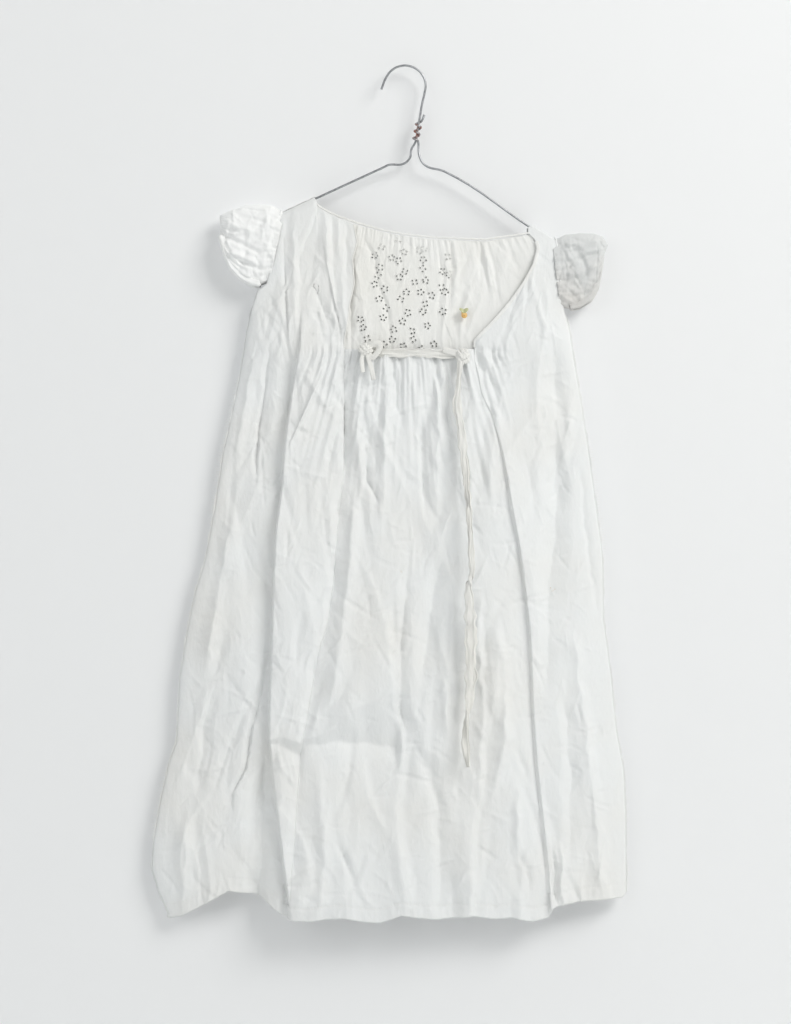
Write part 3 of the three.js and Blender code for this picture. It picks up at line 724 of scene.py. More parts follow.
SEWN_UNDER = 6
side_front_left = link_mesh("side_front_left_cloth", cloth_grid(112, 430, between(
    left_edge, lambda z: follow(LEFT_PANEL_EDGE, z),
    lambda x: blend_to(follow(SHOULDER_LEFT, x) + 2.2, follow(NECKLINE, x) - 1.5,
                       smooth((x + 97) / 6)),
    hem_line, front_depth)), gown_cotton)
side_front_right = link_mesh("side_front_right_cloth", cloth_grid(76, 410, between(
    lambda z: follow(RIGHT_PANEL_EDGE, z), right_edge,
    lambda x: follow(SHOULDER_RIGHT, x) + 2.2, hem_line, front_depth)), gown_cotton)
centre_front = link_mesh("centre_front_cloth", cloth_grid(142, 340, between(
    lambda z: follow(LEFT_PANEL_EDGE, z) - SEWN_UNDER,
    lambda z: follow(RIGHT_PANEL_EDGE, z) + SEWN_UNDER,
    lambda x: x * 0 - 300, hem_line, tucked_depth)), gown_cotton)
sewn(side_front_left, ("side_front_left", "skirt_side_left", "bodice_left_fill"))
sewn(side_front_right, ("side_front_right", "skirt_side_right"))
sewn(centre_front, ("skirt_front",))


# ---- Back of the gown --------------------------------------------------------------------------
# One flat back of the same cotton, which lies against the wall. It is sewn to the front down both
# sides and along the shoulders, and shows inside the neck and past the front at the hem.

BACK_HEAD = [
    (-131, -158), (-128, -163), (-96, -149), (-72, -167), (-24, -182), (33, -189), (86, -191),
    (128, -185), (140, -183), (156, -193)]


def back_depth(x, z):
    left, right = left_edge(z), right_edge(z)
    across = np.clip((x - left) / (right - left), 0, 1)
    flat = smooth(np.minimum(across, 1 - across) * 11)
    crush = crushed(x, z, 31, 170, GOWN_AREA, (22, 85), (7, 20), (0.5, 1.7), 0.35)
    crush += crushed(x, z, 32, 380, GOWN_AREA, (8, 28), (3, 7), (0.3, 0.9), 0.9)
    inward = soft_noise(x, z, 40, 260, 33) * 2.0 + 1.4
    return blend_to(0.2, 9.6, flat) - (inward + crush) * flat * 0.8


def back_hem_line(x):
    shown = smooth((x - 148) / 4) * smooth((176 - x) / 10) * 5 + smooth((-90 - x) / 30) * 1.5
    return hem_line(x) - shown - 0.8 * soft_noise(x, x * 0, 12, 9, 34)


back = link_mesh("back_cloth", cloth_grid(150, 300, between(
    left_edge, right_edge, lambda x: follow(BACK_HEAD, x), back_hem_line, back_depth)), gown_cotton)
sewn(back, ("back_bodice", "skirt_back"))


# ---- Hems --------------------------------------------------------------------------------------
# The lower edge is turned up inside by 14 mm, front and back, and held by a row of machine
# stitches whose short white threads show on the outside.

def hem_fold(name, behind, depth, foot):
    def place(u, v):
        x = blend_to(-252, 224, u)
        z = foot(x) + blend_to(HEM_DEPTH, 0.3, v)
        return x, depth(x, z) + behind * np.sin(math.pi * np.clip(0.12 + v, 0, 1)), z
    return link_mesh(name, cloth_grid(190, 10, place), gown_cotton)


hem_front = hem_fold("hem_front_fold", 1.5, front_depth, hem_line)
hem_back = hem_fold("hem_back_fold", -1.5, back_depth, back_hem_line)
for piece, node in ((hem_front, "hem_front"), (hem_back, "hem_back")):
    sewn(piece, (node,), crosses=False)
    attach(piece, "skirt")


def fibrous(name, colour, roughness, shades, scale, detail, depth, strength, sheen=0.0):
    """Thread or ribbon, shaded from the darker to the lighter of two colours along its fibres."""
    material, tree, shader = new_material(name, colour, roughness)
    shader.inputs["Sheen Weight"].default_value = sheen
    fibre = noise_node(tree, object_coords(tree), scale, detail)
    shade = ramp_node(tree, fibre.outputs["Fac"], [(0.3, shades[0]), (0.7, shades[1])])
    tree.links.new(shade.outputs["Color"], shader.inputs["Base Color"])
    tree.links.new(bump_node(tree, fibre.outputs["Fac"], depth, strength), shader.inputs["Normal"])
    return material


thread = fibrous("white_thread", (0.84, 0.84, 0.81), 0.6, ((0.74, 0.74, 0.71), (0.88, 0.88, 0.86)),
                 900, 2, 0.0001, 0.6)


def stitches(name, starts, ends, radius):
    """Short raised threads, one from each start to each end, in millimetres."""
    bm = bmesh.new()
    for start, end in zip(starts, ends):
        made = bmesh.ops.create_icosphere(bm, subdivisions=1, radius=1)["verts"]
        run = (np.array(end) - np.array(start)) / 2
        middle = (np.array(end) + np.array(start)) / 2
        reach = np.linalg.norm(run)
        side = np.cross(run / reach, (0, 1, 0))
        for vert in made:
            local = vert.co.copy()
            vert.co = (middle + run * local.x + side * local.z * radius
                       + np.array((0, 1, 0)) * local.y * radius) * MM
    return link_mesh(name, bm, thread)


STITCH_SPACING, STITCH_LENGTH = 3.1, 2.2


def on_hem_row(x):
    z = hem_line(x) + HEM_DEPTH
    return np.column_stack((x, front_depth(x, z) - 0.1, z))


hem_x = np.arange(-246, 222, STITCH_SPACING)
hem_stitches = stitches("hem_stitches", on_hem_row(hem_x), on_hem_row(hem_x + STITCH_LENGTH), 0.25)
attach(hem_stitches, "skirt")


# ---- Yoke and the inner bodice -----------------------------------------------------------------
# The bust is a layer behind the side fronts: an eyelet yoke and, to its right, a plain piece, both
# gathered into the neck binding. The eyelets are cut holes in flower rings, with overcast rims.

INNER_CRISP = [
    ([(-186, 51), (-210, 41), (-228, 50)], 1.8), ([(-208, 64), (-226, 56)], 1.6),
    ([(-186, 79), (-203, 87), (-246, 97)], 2.0), ([(-186, 95), (-197, 105), (-203, 116)], 1.8),
    ([(-250, 38), (-272, 42), (-292, 50)], 1.8), ([(-262, 48), (-290, 55)], -1.6)]
INNER_FOLDS = [
    ([(-186, -42), (-207, -31.5), (-264, -17), (-285, -15)], 7, 4, -3.0),
    ([(-200, -52), (-250, -44), (-300, -40)], 6, 7, 1.6),
    ([(-196, 36), (-220, 39), (-262, 34)], 3, 5, -1.8),
    ([(-240, 44), (-275, 40), (-300, 38)], 4, 3, 1.8),
    ([(-190, 47), (-215, 50), (-246, 45)], 3, 4, -2.0),
    ([(-188, 53), (-230, 53), (-262, 46)], 4, 4, 1.4), ([(-201, 74), (-222, 81)], 3, 7, -3.0),
    ([(-190, 80), (-218, 84), (-234, 87)], 3, 6, -2.8),
    ([(-199, 89), (-228, 97), (-245, 99)], 3, 7, -3.0), ([(-192, 85), (-240, 93)], 4, 3, 2.2),
    ([(-207, 66), (-226, 56)], 4, 6, -2.6), ([(-232, 61), (-253, 57), (-269, 52)], 4, 6, -2.6),
    ([(-240, 69), (-262, 62), (-290, 56)], 5, 4, 2.4), ([(-186, 96), (-201, 110)], 3, 7, -2.4),
    ([(-186, 110), (-215, 118)], 5, 8, -2.0), ([(-250, 80), (-280, 66), (-300, 60)], 6, 5, 2.0),
    ([(-160, -84), (-200, -92), (-215, -90)], 5, 8, -2.6),
    ([(-166, -72), (-205, -78), (-240, -62)], 4, 8, -2.4), ([(-158, -90), (-190, -97)], 5, 4, 2.0),
    ([(-170, -62), (-230, -60), (-300, -56)], 3, 6, -2.6)]


def inner_depth(x, z):
    base = blend_to(-9, -12.0, smooth((-200 - z) / 100))
    folds = sum(crease(x, z, line, left, right, height) for line, left, right, height in INNER_FOLDS)
    folds += sum(step(x, z, line, 8, 7, height, 1.4) for line, height in INNER_CRISP)
    neck = follow(NECKLINE, x)
    folds += gathers(x, z, neck, 15, 91, 4.0) * 0.4
    folds += crushed(x, z, 92, 150, (-110, 132, -308, -150), (8, 26), (3, 7), (0.3, 0.8), 0.5)
    above_band = np.exp(-np.maximum(z + 304, 0) / 16)
    folds += soft_noise(x, z, 4.5, 60, 94) * 1.3 * above_band
    return base - folds * 0.85 * smooth((neck - z) / 7 + 0.1)


FLOWERS = [
    (-24.5, -191.7), (-31.7, -201.1), (-26.6, -213.6), (-28.7, -221.9), (-21.3, -236.5),
    (-27.1, -246.8), (-19.3, -256.1), (-23.4, -266.5), (-46.8, -268.6), (-6.8, -183.8),
    (-1.2, -197.0), (-6.8, -206.3), (0, -217.8), (-5.8, -224.0), (1.5, -239.5), (-4.2, -246.8),
    (3.0, -261.3), (-2.7, -270.7), (15.0, -195.9), (20.2, -193.8), (19.1, -205.3), (18.6, -214.6),
    (21.7, -227.1), (16.5, -239.5), (21.7, -252.0), (19.1, -260.3), (23.3, -274.8), (-22.4, -294.5),
    (-13.7, -289.4), (-1.7, -296.6), (8.7, -289.4), (17.0, -299.8), (30.5, -294.5), (45.0, -202.1),
    (39.9, -217.8), (46.1, -220.8), (38.9, -234.4), (42.0, -239.5), (39.9, -260.3), (-40, -289),
    (-44, -277), (-12, -279), (8, -281), (-32, -231), (28, -243), (10, -229), (-14, -203)]
HOLE = 1.0
holes = []
flower_random = np.random.default_rng(41)
for number, (x, z) in enumerate(FLOWERS):
    petals = 5 if number % 3 else 4
    turn = flower_random.uniform(0, 2)
    for k in range(petals):
        angle = turn + k * 2 * math.pi / petals + flower_random.normal(0, 0.14)
        reach = flower_random.uniform(2.5, 3.5)
        holes.append((x + reach * math.cos(angle), z + reach * math.sin(angle)))
holes = np.array(holes)


def inner_head(x):
    return follow(NECKLINE, x) - 2


def in_hole(face):
    middle = face.calc_center_median() / MM
    return np.min(np.hypot(holes[:, 0] - middle.x, holes[:, 1] - middle.z)) < HOLE


bm = cloth_grid(210, 230, between(lambda z: z * 0 - 72, lambda z: z * 0 + 48, inner_head,
                                  lambda x: x * 0 - 307, inner_depth))
cut = [face for face in bm.faces if in_hole(face)]
bmesh.ops.delete(bm, geom=cut, context="FACES")
yoke = link_mesh("eyelet_yoke", bm, yoke_cotton)
sewn(yoke, ("yoke",), crosses=False)
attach(yoke, "hanger_and_bodice")

bm = bmesh.new()
hole_depth = inner_depth(holes[:, 0], holes[:, 1])
for (x, z), y in zip(holes, hole_depth):
    before = set(bm.verts)
    bmesh.ops.create_circle(bm, cap_ends=False, segments=10, radius=1)
    ring = [v for v in bm.verts if v not in before]
    ring_edges = [e for e in bm.edges if e.verts[0] in ring and e.verts[1] in ring]
    for scale, lift in ((1.15, -0.14), (1.32, -0.03)):
        made = bmesh.ops.extrude_edge_only(bm, edges=ring_edges)["geom"]
        new = [g for g in made if isinstance(g, bmesh.types.BMVert)]
        for v in new:
            size = math.hypot(v.co.x, v.co.y)
            v.co.x, v.co.y, v.co.z = v.co.x / size * scale, v.co.y / size * scale, lift
        ring_edges = [g for g in made if isinstance(g, bmesh.types.BMEdge)
                      and g.verts[0] in new and g.verts[1] in new]
    for v in [v for v in bm.verts if v not in before]:
        rx, rz, lift = v.co.x, v.co.y, v.co.z
        v.co = ((x + rx * HOLE) * MM, (y - 0.05 + lift) * MM, (z + rz * HOLE) * MM)
eyelets = link_mesh("eyelet_rims", bm, thread)
thicken(eyelets, 0.25 * MM)
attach(eyelets, "hanger_and_bodice")

RIGHT_FOOT = [(46, -305), (84, -305), (104, -283), (130, -243), (143, -225)]
bodice_right = link_mesh("bodice_right_cloth", cloth_grid(90, 130, between(
    lambda z: z * 0 + 46.5, lambda z: z * 0 + 142, inner_head,
    lambda x: follow(RIGHT_FOOT, x), lambda x, z: inner_depth(x, z) + 0.4)), yoke_cotton)
sewn(bodice_right, ("bodice_right_fill",), crosses=False)
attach(bodice_right, "hanger_and_bodice")


# ---- Bindings and shoulders --------------------------------------------------------------------
# Narrow bias strips bind the neck, front and back, and the armholes. The shoulder seams lie over
# the arms of the hanger, which carry the whole gown.

def resample(points, count):
    points = np.array(points, float)
    run = np.concatenate(([0], np.cumsum(np.linalg.norm(np.diff(points, axis=0), axis=1))))
    even = np.linspace(0, run[-1], count)
    line = np.column_stack([np.interp(even, run, points[:, k]) for k in range(3)])
    for _ in range(3):
        line[1:-1] = (line[:-2] + 2 * line[1:-1] + line[2:]) / 4
    return line


SQUARENESS = 0.75


def swept(name, points, wide, thick, material, count=120, around=16, face=(0, -1, 0), turn=None,
          folds=0.0, seed=0, closed=False, ragged=0.0):
    """A solid strip along points: half sizes wide and thick are numbers or tables over 0 to 1.

    face is the way its flat side looks, turn tables a twist in degrees, folds is the depth of the
    pleats that run along it, and ragged how much its width wanders.
    """
    line = resample(points, count)
    t = np.linspace(0, 1, count)
    tangent = np.gradient(line, axis=0)
    if closed:
        tangent[0] = tangent[-1] = tangent[0] + tangent[-1]
    tangent /= np.linalg.norm(tangent, axis=1)[:, None]
    side = np.cross(tangent, np.array(face, float))
    side /= np.linalg.norm(side, axis=1)[:, None]
    out = np.cross(side, tangent)
    angle = np.radians(follow(turn, t)) if turn else np.zeros(count)
    across = side * np.cos(angle)[:, None] + out * np.sin(angle)[:, None]
    front = out * np.cos(angle)[:, None] - side * np.sin(angle)[:, None]
    wide, thick = (follow(half, t) if isinstance(half, list) else np.full(count, float(half))
                   for half in (wide, thick))
    total = np.linalg.norm(np.diff(line, axis=0), axis=1).sum()
    wide = wide * (1 + ragged * soft_noise(t * total, t * 0, 9, 9, seed + 311))

    def place(u, v):
        k = np.clip(np.rint(v * (count - 1)).astype(int), 0, count - 1)
        a = u * 2 * math.pi
        c, s = np.cos(a), np.sin(a)
        flat_c = np.sign(c) * np.abs(c) ** SQUARENESS
        flat_s = np.sign(s) * np.abs(s) ** SQUARENESS
        pleat = folds * soft_noise(flat_c * 2.3 + 7 * (s > 0), v * total / 26, 0.62, 1, seed + 301)
        where = (line[k] + across[k] * (flat_c * wide[k])[:, None]
                 + front[k] * (flat_s * thick[k] + np.sign(s) * np.abs(s) ** 0.5 * pleat)[:, None])
        return where[:, 0], where[:, 1], where[:, 2]

    bm = cloth_grid(around, count - 1, place)
    bmesh.ops.remove_doubles(bm, verts=bm.verts, dist=1e-6)
    if not closed:
        bmesh.ops.holes_fill(bm, edges=[e for e in bm.edges if e.is_boundary], sides=0)
    bmesh.ops.recalc_face_normals(bm, faces=bm.faces)
    return link_mesh(name, bm, material)


def carry(obj, body, slot, *nodes):
    if nodes:
        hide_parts(*nodes)
    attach(obj, body)


neck_x = np.linspace(-93, 131.5, 60)
neck_z = follow(NECKLINE, neck_x)
neck_front = swept("neck_binding_front_strip", np.column_stack((
    neck_x, -9.2 + 0.5 * soft_noise(neck_x, neck_x * 0, 9, 9, 201), neck_z + 0.3 * np.sin(neck_x))),
    1.1, 0.8, yoke_cotton, 220, 12, folds=0.35, seed=5)
carry(neck_front, "hanger_and_bodice", "cotton", "neck_binding_front")
neck_x = np.linspace(-94, 133, 60)
neck_back = swept("neck_binding_back_strip", np.column_stack((
    neck_x, np.full(60, 9.2), follow(BACK_HEAD, neck_x) + 1.2)), 1.2, 0.8, yoke_cotton, 180, 12,
    folds=0.3, seed=6)
carry(neck_back, "hanger_and_bodice", "cotton", "neck_binding_back")


def shoulder(name, line, start, stop, node):
    """The back half of the shoulder, from the crest over the wire down to the flat back."""
    def place(u, v):
        x = blend_to(start, stop, v)
        a = math.pi * blend_to(0.40, 1.0, u)
        ruck = soft_noise(x, u * 30, 7, 12, 211) * 0.6 * np.sin(a)
        return x, -1.0 - 10.0 * np.cos(a), follow(line, x) - 10 + (12.4 + ruck) * np.sin(a) ** 0.62
    obj = link_mesh(name, cloth_grid(18, 40, place), gown_cotton)
    sewn(obj, (node,), crosses=False)
    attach(obj, "hanger_and_bodice")


shoulder("shoulder_left_cloth", SHOULDER_LEFT, -131, -95, "shoulder_left")
shoulder("shoulder_right_cloth", SHOULDER_RIGHT, 129, 159, "shoulder_right")


def armhole(name, top, foot, node):
    a = np.linspace(0, 2 * math.pi, 60)
    down = 0.5 - 0.5 * np.cos(a)
    ring = np.column_stack((blend_to(top[0], foot[0], down ** 0.9),
                            -1.5 + 9.4 * np.sign(np.sin(a)) * np.abs(np.sin(a)) ** 0.55,
                            blend_to(top[1], foot[1], down)))
    obj = swept(name, ring, 1.0, 0.8, gown_cotton, 150, 10, face=(1, 0, 0), folds=0.3, seed=8,
                closed=True)
    carry(obj, "hanger_and_bodice", "cotton", node)


armhole("armhole_left_binding", (-131, -152.6), (-147, -230), "armhole_left")
armhole("armhole_right_binding", (159, -181.6), (166.5, -257), "armhole_right")

for name, table, top, shift, half in (("scoop_edge_left", LEFT_PANEL_EDGE, -168, -0.4, 0.7),
                                      ("scoop_edge_right", RIGHT_PANEL_EDGE, -186, 0.8, 1.9)):
    line_z = np.linspace(top, -298, 60)
    line_x = follow(table, line_z) + shift
    edge = swept(name, np.column_stack((line_x, front_depth(line_x, line_z) + 0.2, line_z)),
                 half, 0.6, yoke_cotton, 140, 10, folds=0.4, seed=12)
    carry(edge, "hanger_and_bodice", "cotton")


# ---- Sleeves -----------------------------------------------------------------------------------
# Short puff sleeves, gathered into the armholes and again at the cuff. They hang empty, so the
# cloth has collapsed into rolls and sharp folds. Both are one cotton, but the left one is painted
# lighter as painted light and the right one darker and greyer as painted shade, with rust specks.

def sleeve_place(tops, feet, seed, creases):
    tops, feet = np.array(tops, float), np.array(feet, float)
    steps = np.linspace(0, 1, len(tops))
    steps_foot = np.linspace(0, 1, len(feet))

    def place(u, v):
        outer = np.clip(u, 0, 1)
        full = blend_to(9.4, 10.4, np.sin(math.pi * u)) * np.sqrt(1 - outer ** 6)
        half = 1.4 * (1 - outer ** 8) + full
        a = math.pi * 2 * v
        down = (1 - np.cos(a)) / 2
        across = -np.sign(np.sin(a)) * np.abs(np.sin(a)) ** 0.7
        head = [np.interp(u, steps, tops[:, k]) for k in (0, 1)]
        base = [np.interp(u, steps_foot, feet[:, k]) for k in (0, 1)]
        x, z = blend_to(head[0], base[0], down), blend_to(head[1], base[1], down)
        gather = soft_noise(down * 9, u * 0.9 + (across > 0) * 5, 0.42, 1, seed) * 2.6
        gather = gather * np.exp(-u / 0.16)
        gather += soft_noise(down * 9, u * 1.3, 0.5, 1, seed + 1) * 1.4 * smooth((u - 0.45) / 0.5)
        area = (x.min(), x.max(), z.min(), z.max())
        ripple = crushed(x, z, seed + 3, 26, area, (12, 34), (3, 9), (0.6, 1.9), 1.4)
        ripple += crushed(x, z, seed + 9, 90, area, (6, 22), (1.4, 3.6), (0.4, 1.3), 1.4)
        up = 1 - down
        rolls = 2.2 * np.abs(np.sin(up * 38 + 2 * u))
        ripple += rolls * smooth((0.26 - up) / 0.08) * smooth((u - 0.3) / 0.2)
        for sx, sz, ex, ez, width, tall in creases:
            length = math.hypot(ex - sx, ez - sz)
            tx, tz = (ex - sx) / length, (ez - sz) / length
            along = (x - sx) * tx + (z - sz) * tz
            off = -(x - sx) * tz + (z - sz) * tx
            on = smooth(along / 5) * smooth((length - along) / 5)
            ripple += 1.2 * tall * on * np.clip(1 - np.abs(off) / width, 0, 1) ** 1.2
        y = -2 - (half + (gather + ripple) * 0.9) * -across
        return x, y, z
    return place


# Painted light: the left sleeve's cotton is made brighter than the gown's to stand in for the light
# on it.
painted_light_cotton = cotton("painted_light_cotton", (0.88, 0.885, 0.88), (0.86, 0.855, 0.83), crush=0.0009,
                      stain=0.4)
# Painted shade: the right sleeve's cotton is made darker and greyer than the gown's to stand in for
# the shade on it; its specks are rust stains.
painted_shade_stained_cotton = cotton("painted_shade_stained_cotton", (0.67, 0.68, 0.675), (0.62, 0.58, 0.54), crush=0.0012, stain=1.0)
LEFT_TOPS = [(-127, -156), (-140, -147.5), (-155, -146), (-168, -147), (-177, -150),
             (-188, -154), (-196, -158)]
LEFT_FEET = [(-143, -229), (-156, -233), (-163, -231.5), (-174, -225), (-184, -215),
             (-190, -202), (-195, -184)]
RIGHT_TOPS = [(155, -185), (170, -178), (185, -176.5), (200, -177), (209, -180), (215, -189)]
RIGHT_FEET = [(163, -255), (177, -257), (185, -255.5), (197, -248), (204, -235), (209, -204)]
LEFT_CREASES = [(-194, -178, -151, -200, 4, -3.0), (-178, -206, -147, -217, 4, -2.8),
                (-190, -166, -160, -176, 6, 2.6), (-186, -196, -156, -210, 5, 2.6),
                (-180, -160, -146, -166, 5, -2.2), (-186, -214, -160, -226, 3, 2.2),
                (-194, -157, -172, -151, 2, -2.2), (-172, -151, -146, -155, 2, -2.0)]
RIGHT_CREASES = [(168, -209, 205, -198, 4, -3.0), (176, -235, 194, -219, 4, -2.8),
                 (166, -190, 206, -186, 7, 3.0), (170, -222, 204, -212, 5, 2.4),
                 (172, -246, 196, -238, 4, -2.2)]
for side, tops, feet, seed, creases, body, sleeve_cotton in (
        ("left", LEFT_TOPS, LEFT_FEET, 61, LEFT_CREASES, "sleeve_left", painted_light_cotton),
        ("right", RIGHT_TOPS, RIGHT_FEET, 62, RIGHT_CREASES, "sleeve_right", painted_shade_stained_cotton)):
    bm = cloth_grid(70, 150, sleeve_place(tops, feet, seed, creases))
    bmesh.ops.remove_doubles(bm, verts=bm.verts, dist=2e-5)
    bmesh.ops.recalc_face_normals(bm, faces=bm.faces)
    sleeve = link_mesh(f"sleeve_{side}_puff", bm, sleeve_cotton)
    thicken(sleeve, 0.5 * MM)
    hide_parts(f"sleeve_{side}")
    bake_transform(sleeve)
    mouth = np.array(feet[1:], float)
    path = np.column_stack((mouth[:, 0], np.full(len(mouth), -2.0), mouth[:, 1]))
    away = -1 if side == "left" else 1
    front_roll = path + np.array((-away * 1.5, -7.0, 2.5))
    back_roll = (path + np.array((-away * 1.0, 5.0, 1.5)))[::-1]
    ring = np.vstack((front_roll, back_roll, front_roll[:1]))
    cuff = swept(f"cuff_{side}_roll", ring, 3.2, 2.2, sleeve_cotton, 170, 18, folds=1.3, seed=seed,
                 closed=True, face=(0.3, -1, 0.2))
    carry(cuff, body, "cotton", f"cuff_{side}")


# ---- Side seams --------------------------------------------------------------------------------
# Front and back are joined by an overlocked seam, a narrow frilled edge that lies just behind the
# front. Where the edge has opened, at both sides, its loops of white thread stand out.

def seam(name, edge, away, top, foot, node, body):
    z = np.linspace(top, foot, max(30, int((top - foot) / 4)))
    frill = soft_noise(z, z * 0, 11, 9, 221) * 1.3
    x = edge(z) + away * (-0.5 + 0.5 * soft_noise(z, z * 0, 5, 9, 222))
    points = np.column_stack((x, -0.25 + frill * 0.4, z))
    strip = swept(name, points, 1.7, 0.3, gown_cotton, len(z) * 3, 12, folds=0.4, seed=14,
                  ragged=0.6)
    carry(strip, body, "cotton", node)
    turns = int((top - foot) / 2.9)
    run = np.linspace(top, foot, turns)
    line_x = edge(run) + away * 0.8
    line_y = -0.25 + soft_noise(run, run * 0, 11, 9, 221) * 0.5
    inner = np.column_stack((line_x - away * 1.6, line_y - 1.1, run))
    outer = np.column_stack((line_x + away * 2.9, line_y - 0.5, run - 1.1))
    bare = [(-322, -487), (-735, -822)] if away < 0 else [(-396, -522), (-840, -868)]
    open_edge = sum(smooth((high - run) / 12) * smooth((run - low) / 12) for high, low in bare)
    outer[:, 0] += away * (4.2 * open_edge * (1 + 0.35 * soft_noise(run, run * 0, 6, 9, 223)) - 2.3)
    loops = stitches(name.replace("seam", "overlock"), inner, outer, 0.2)
    carry(loops, body, "thread")


BODICE_END, SKIRT_START = -308, -308.5
for side, edge, away, top, foot, half, body in (
        ("left", left_edge, -1, -238, BODICE_END, "bodice", "hanger_and_bodice"),
        ("right", right_edge, 1, -264, BODICE_END, "bodice", "hanger_and_bodice"),
        ("left", left_edge, -1, SKIRT_START, -893, "skirt", "skirt"),
        ("right", right_edge, 1, SKIRT_START, -874, "skirt", "skirt")):
    node = f"side_seam_{side}_{half}"
    seam(f"{node}_strip", edge, away, top, foot, node, body)


# ---- Band, knots and tie -----------------------------------------------------------------------
# A narrow folded band crosses under the yoke. A tape of the same cotton, yellowed and twisted, is
# knotted at each end: a small bow with two tails at one side, one long tail at the other.

tie_cotton = cotton("tie_cotton", (0.79, 0.785, 0.755), (0.76, 0.745, 0.69), crush=0.0012)
band_x = np.linspace(-36, 56, 30)
band = swept("waist_band_strip", np.column_stack((
    band_x, -19.3 + 0.5 * soft_noise(band_x, band_x * 0, 14, 9, 231),
    -303.5 - 2 * (band_x + 36) / 92 + 0.5 * np.sin(band_x / 9))), 4.7, 1.3, tie_cotton, 150, 34,
    folds=2.0, seed=21, ragged=0.25)
carry(band, "hanger_and_bodice", "tie_cotton", "waist_band")


def knot(name, centre, radii, seed):
    """A tight knot of folded tape: rounded, with wraps that cross it at a slant."""
    bm = bmesh.new()
    bmesh.ops.create_icosphere(bm, subdivisions=5, radius=1)
    sphere = np.array([v.co for v in bm.verts])
    slant = sphere[:, 0] * 0.8 + sphere[:, 2] * 0.6
    cross = sphere[:, 2] * 0.9 - sphere[:, 0] * 0.5
    over = smooth((sphere[:, 0] * 0.7 - sphere[:, 2] * 0.5) / 0.25 + 0.5)
    grooves = blend_to(np.abs(np.sin(slant * 5.2 + seed)), np.abs(np.sin(cross * 4.6 + seed)), over)
    ruck = soft_noise(sphere[:, 0] * 3, sphere[:, 2] * 3, 0.7, 0.7, seed + 240)
    swell = 0.77 + 0.32 * grooves ** 0.45 + 0.12 * ruck
    set_places(bm, (np.array(centre) + sphere * np.array(radii) * swell[:, None]) * MM)
    return link_mesh(name, bm, tie_cotton)


carry(knot("knot_right_tape", (61, -22.6, -308), (7.2, 4.6, 8.2), 3), "hanger_and_bodice",
      "tie_cotton", "knot_right")
carry(knot("knot_left_tape", (-41.5, -22.4, -301), (7.6, 4.2, 6.2), 5), "hanger_and_bodice",
      "tie_cotton", "knot_left")
loop = swept("knot_loop_left_tape", [
    (-38, -23.4, -298), (-31, -24.4, -294), (-26.5, -24.8, -295), (-26, -24.8, -299),
    (-29.5, -24.6, -305), (-34, -24.0, -310), (-38, -23.4, -306)], 2.9, 1.1, tie_cotton, 90, 20,
    folds=0.6, seed=23)
carry(loop, "hanger_and_bodice", "tie_cotton", "knot_loop_left")
end = swept("band_end_tape", [
    (40, -20.4, -301), (50, -21.6, -304), (57, -22.4, -306), (60, -22.6, -300)],
    3.4, 1.3, tie_cotton, 60, 20, folds=0.7, seed=24)
carry(end, "hanger_and_bodice", "tie_cotton")

tail_long = swept("tie_tail_long_tape", [
    (-40, -23.6, -306), (-38, -24.4, -312), (-35.5, -25.2, -320), (-33, -25.4, -333)],
    [(0, 2.0), (0.5, 2.7), (1, 2.4)], 0.9, tie_cotton, 60, 18, folds=0.5, seed=25,
    turn=[(0, 0), (0.6, 20), (1, -15)])
tail_short = swept("tie_tail_short_tape", [
    (-44, -23.4, -305), (-45.5, -24.2, -311), (-45, -25.0, -318), (-44, -25.0, -325)],
    [(0, 1.8), (0.5, 2.5), (1, 2.2)], 0.9, tie_cotton, 50, 18, folds=0.5, seed=26,
    turn=[(0, 0), (1, 25)])
for tail, node in ((tail_long, "tie_tail_long"), (tail_short, "tie_tail_short")):
    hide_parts(node)
    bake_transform(tail)

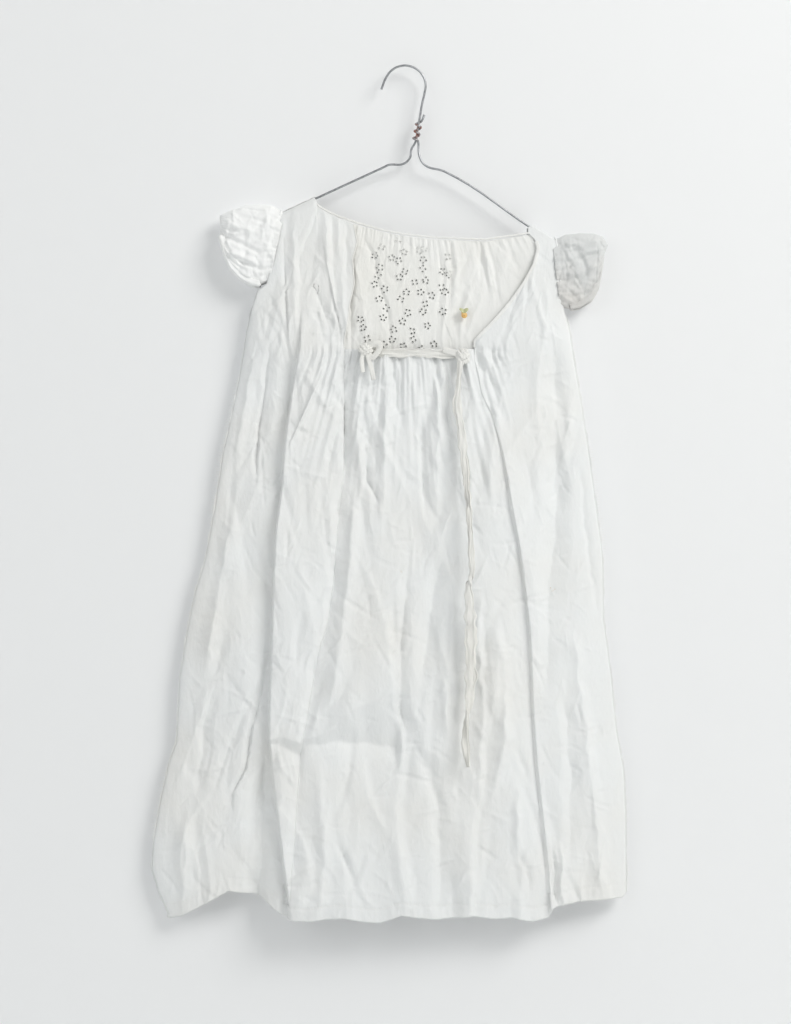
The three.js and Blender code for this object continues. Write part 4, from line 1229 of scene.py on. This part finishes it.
TIE_MIDDLE = [
    (-313, 59), (-332, 55.5), (-354, 54.5), (-395, 60), (-456, 66), (-504, 68.5), (-535, 70),
    (-548, 66.5), (-595, 69), (-651, 68), (-690, 64), (-711, 63), (-737, 66)]
tie_z = np.linspace(-313, -737, 90)
tie_y = blend_to(-24.6, -41.2, smooth((-317.5 - tie_z) / 250))
tie_x = follow(TIE_MIDDLE, tie_z) + 1.0 * soft_noise(tie_z, tie_z * 0, 26, 9, 245)
long_tie = swept("long_tie_tape", np.column_stack((tie_x, tie_y, tie_z)),
    [(0, 3.0), (0.04, 2.5), (0.07, 3.8), (0.14, 4.7), (0.27, 3.9), (0.36, 3.0), (0.53, 3.4),
     (0.56, 2.8), (0.6, 5.7), (0.8, 6.0), (0.86, 4.0), (0.9, 2.6), (0.94, 4.0), (1, 2.2)],
    [(0, 1.5), (0.5, 1.5), (1, 1.1)], tie_cotton, 560, 30, folds=2.1, seed=27, ragged=0.35,
    turn=[(0, 0), (0.1, 12), (0.3, -10), (0.53, 8), (0.555, 170), (0.6, 188), (0.8, 176),
          (0.86, 230), (0.9, 340), (0.95, 372), (1, 330)])
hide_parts("tie_top", "tie_long")
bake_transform(long_tie)


# ---- Rosebud -----------------------------------------------------------------------------------
# A tiny ribbon rose is sewn to the gathers over the band: a coil of orange satin ribbon under two
# looped leaves of green ribbon.

def ribbon(name, dark, light):
    return fibrous(name, light, 0.42, (dark, light), 600, 3, 0.0002, 0.5, sheen=0.3)


bud_ribbon = ribbon("bud_ribbon", (0.68, 0.40, 0.12), (0.86, 0.60, 0.25))
leaf_ribbon = ribbon("leaf_ribbon", (0.42, 0.44, 0.22), (0.62, 0.63, 0.38))
COIL_TURNS = 2.4
coil = []
for t in np.linspace(0, 1, 80):
    a = t * COIL_TURNS * 2 * math.pi
    reach = 0.4 + 2.3 * t
    coil.append((62 + reach * math.cos(a), -17.6 + 1.6 * t, -264.5 + reach * math.sin(a)))
rosebud = swept("rosebud_coil", coil, [(0, 0.8), (1, 1.4)], 0.5, bud_ribbon, 150, 10,
                face=(0.2, -0.5, 0.2), folds=0.2, seed=31)
carry(rosebud, "hanger_and_bodice", "bud_ribbon", "rosebud")
leaf_loops = [(62, -16, -261.5), (59.6, -16.8, -259.6), (58.4, -16.2, -257.8), (60.4, -15.6, -258.5),
              (62, -16, -260.5), (63.6, -15.6, -258.5), (65.6, -16.2, -257.8), (64.4, -16.8, -259.6),
              (62, -16, -261.5)]
leaf = swept("rosebud_leaf_loops", leaf_loops, 1.5, 0.4, leaf_ribbon, 110, 10, face=(0.1, -0.6, 0.4),
             folds=0.2, seed=32)
carry(leaf, "hanger_and_bodice", "leaf_ribbon", "rosebud_leaf")
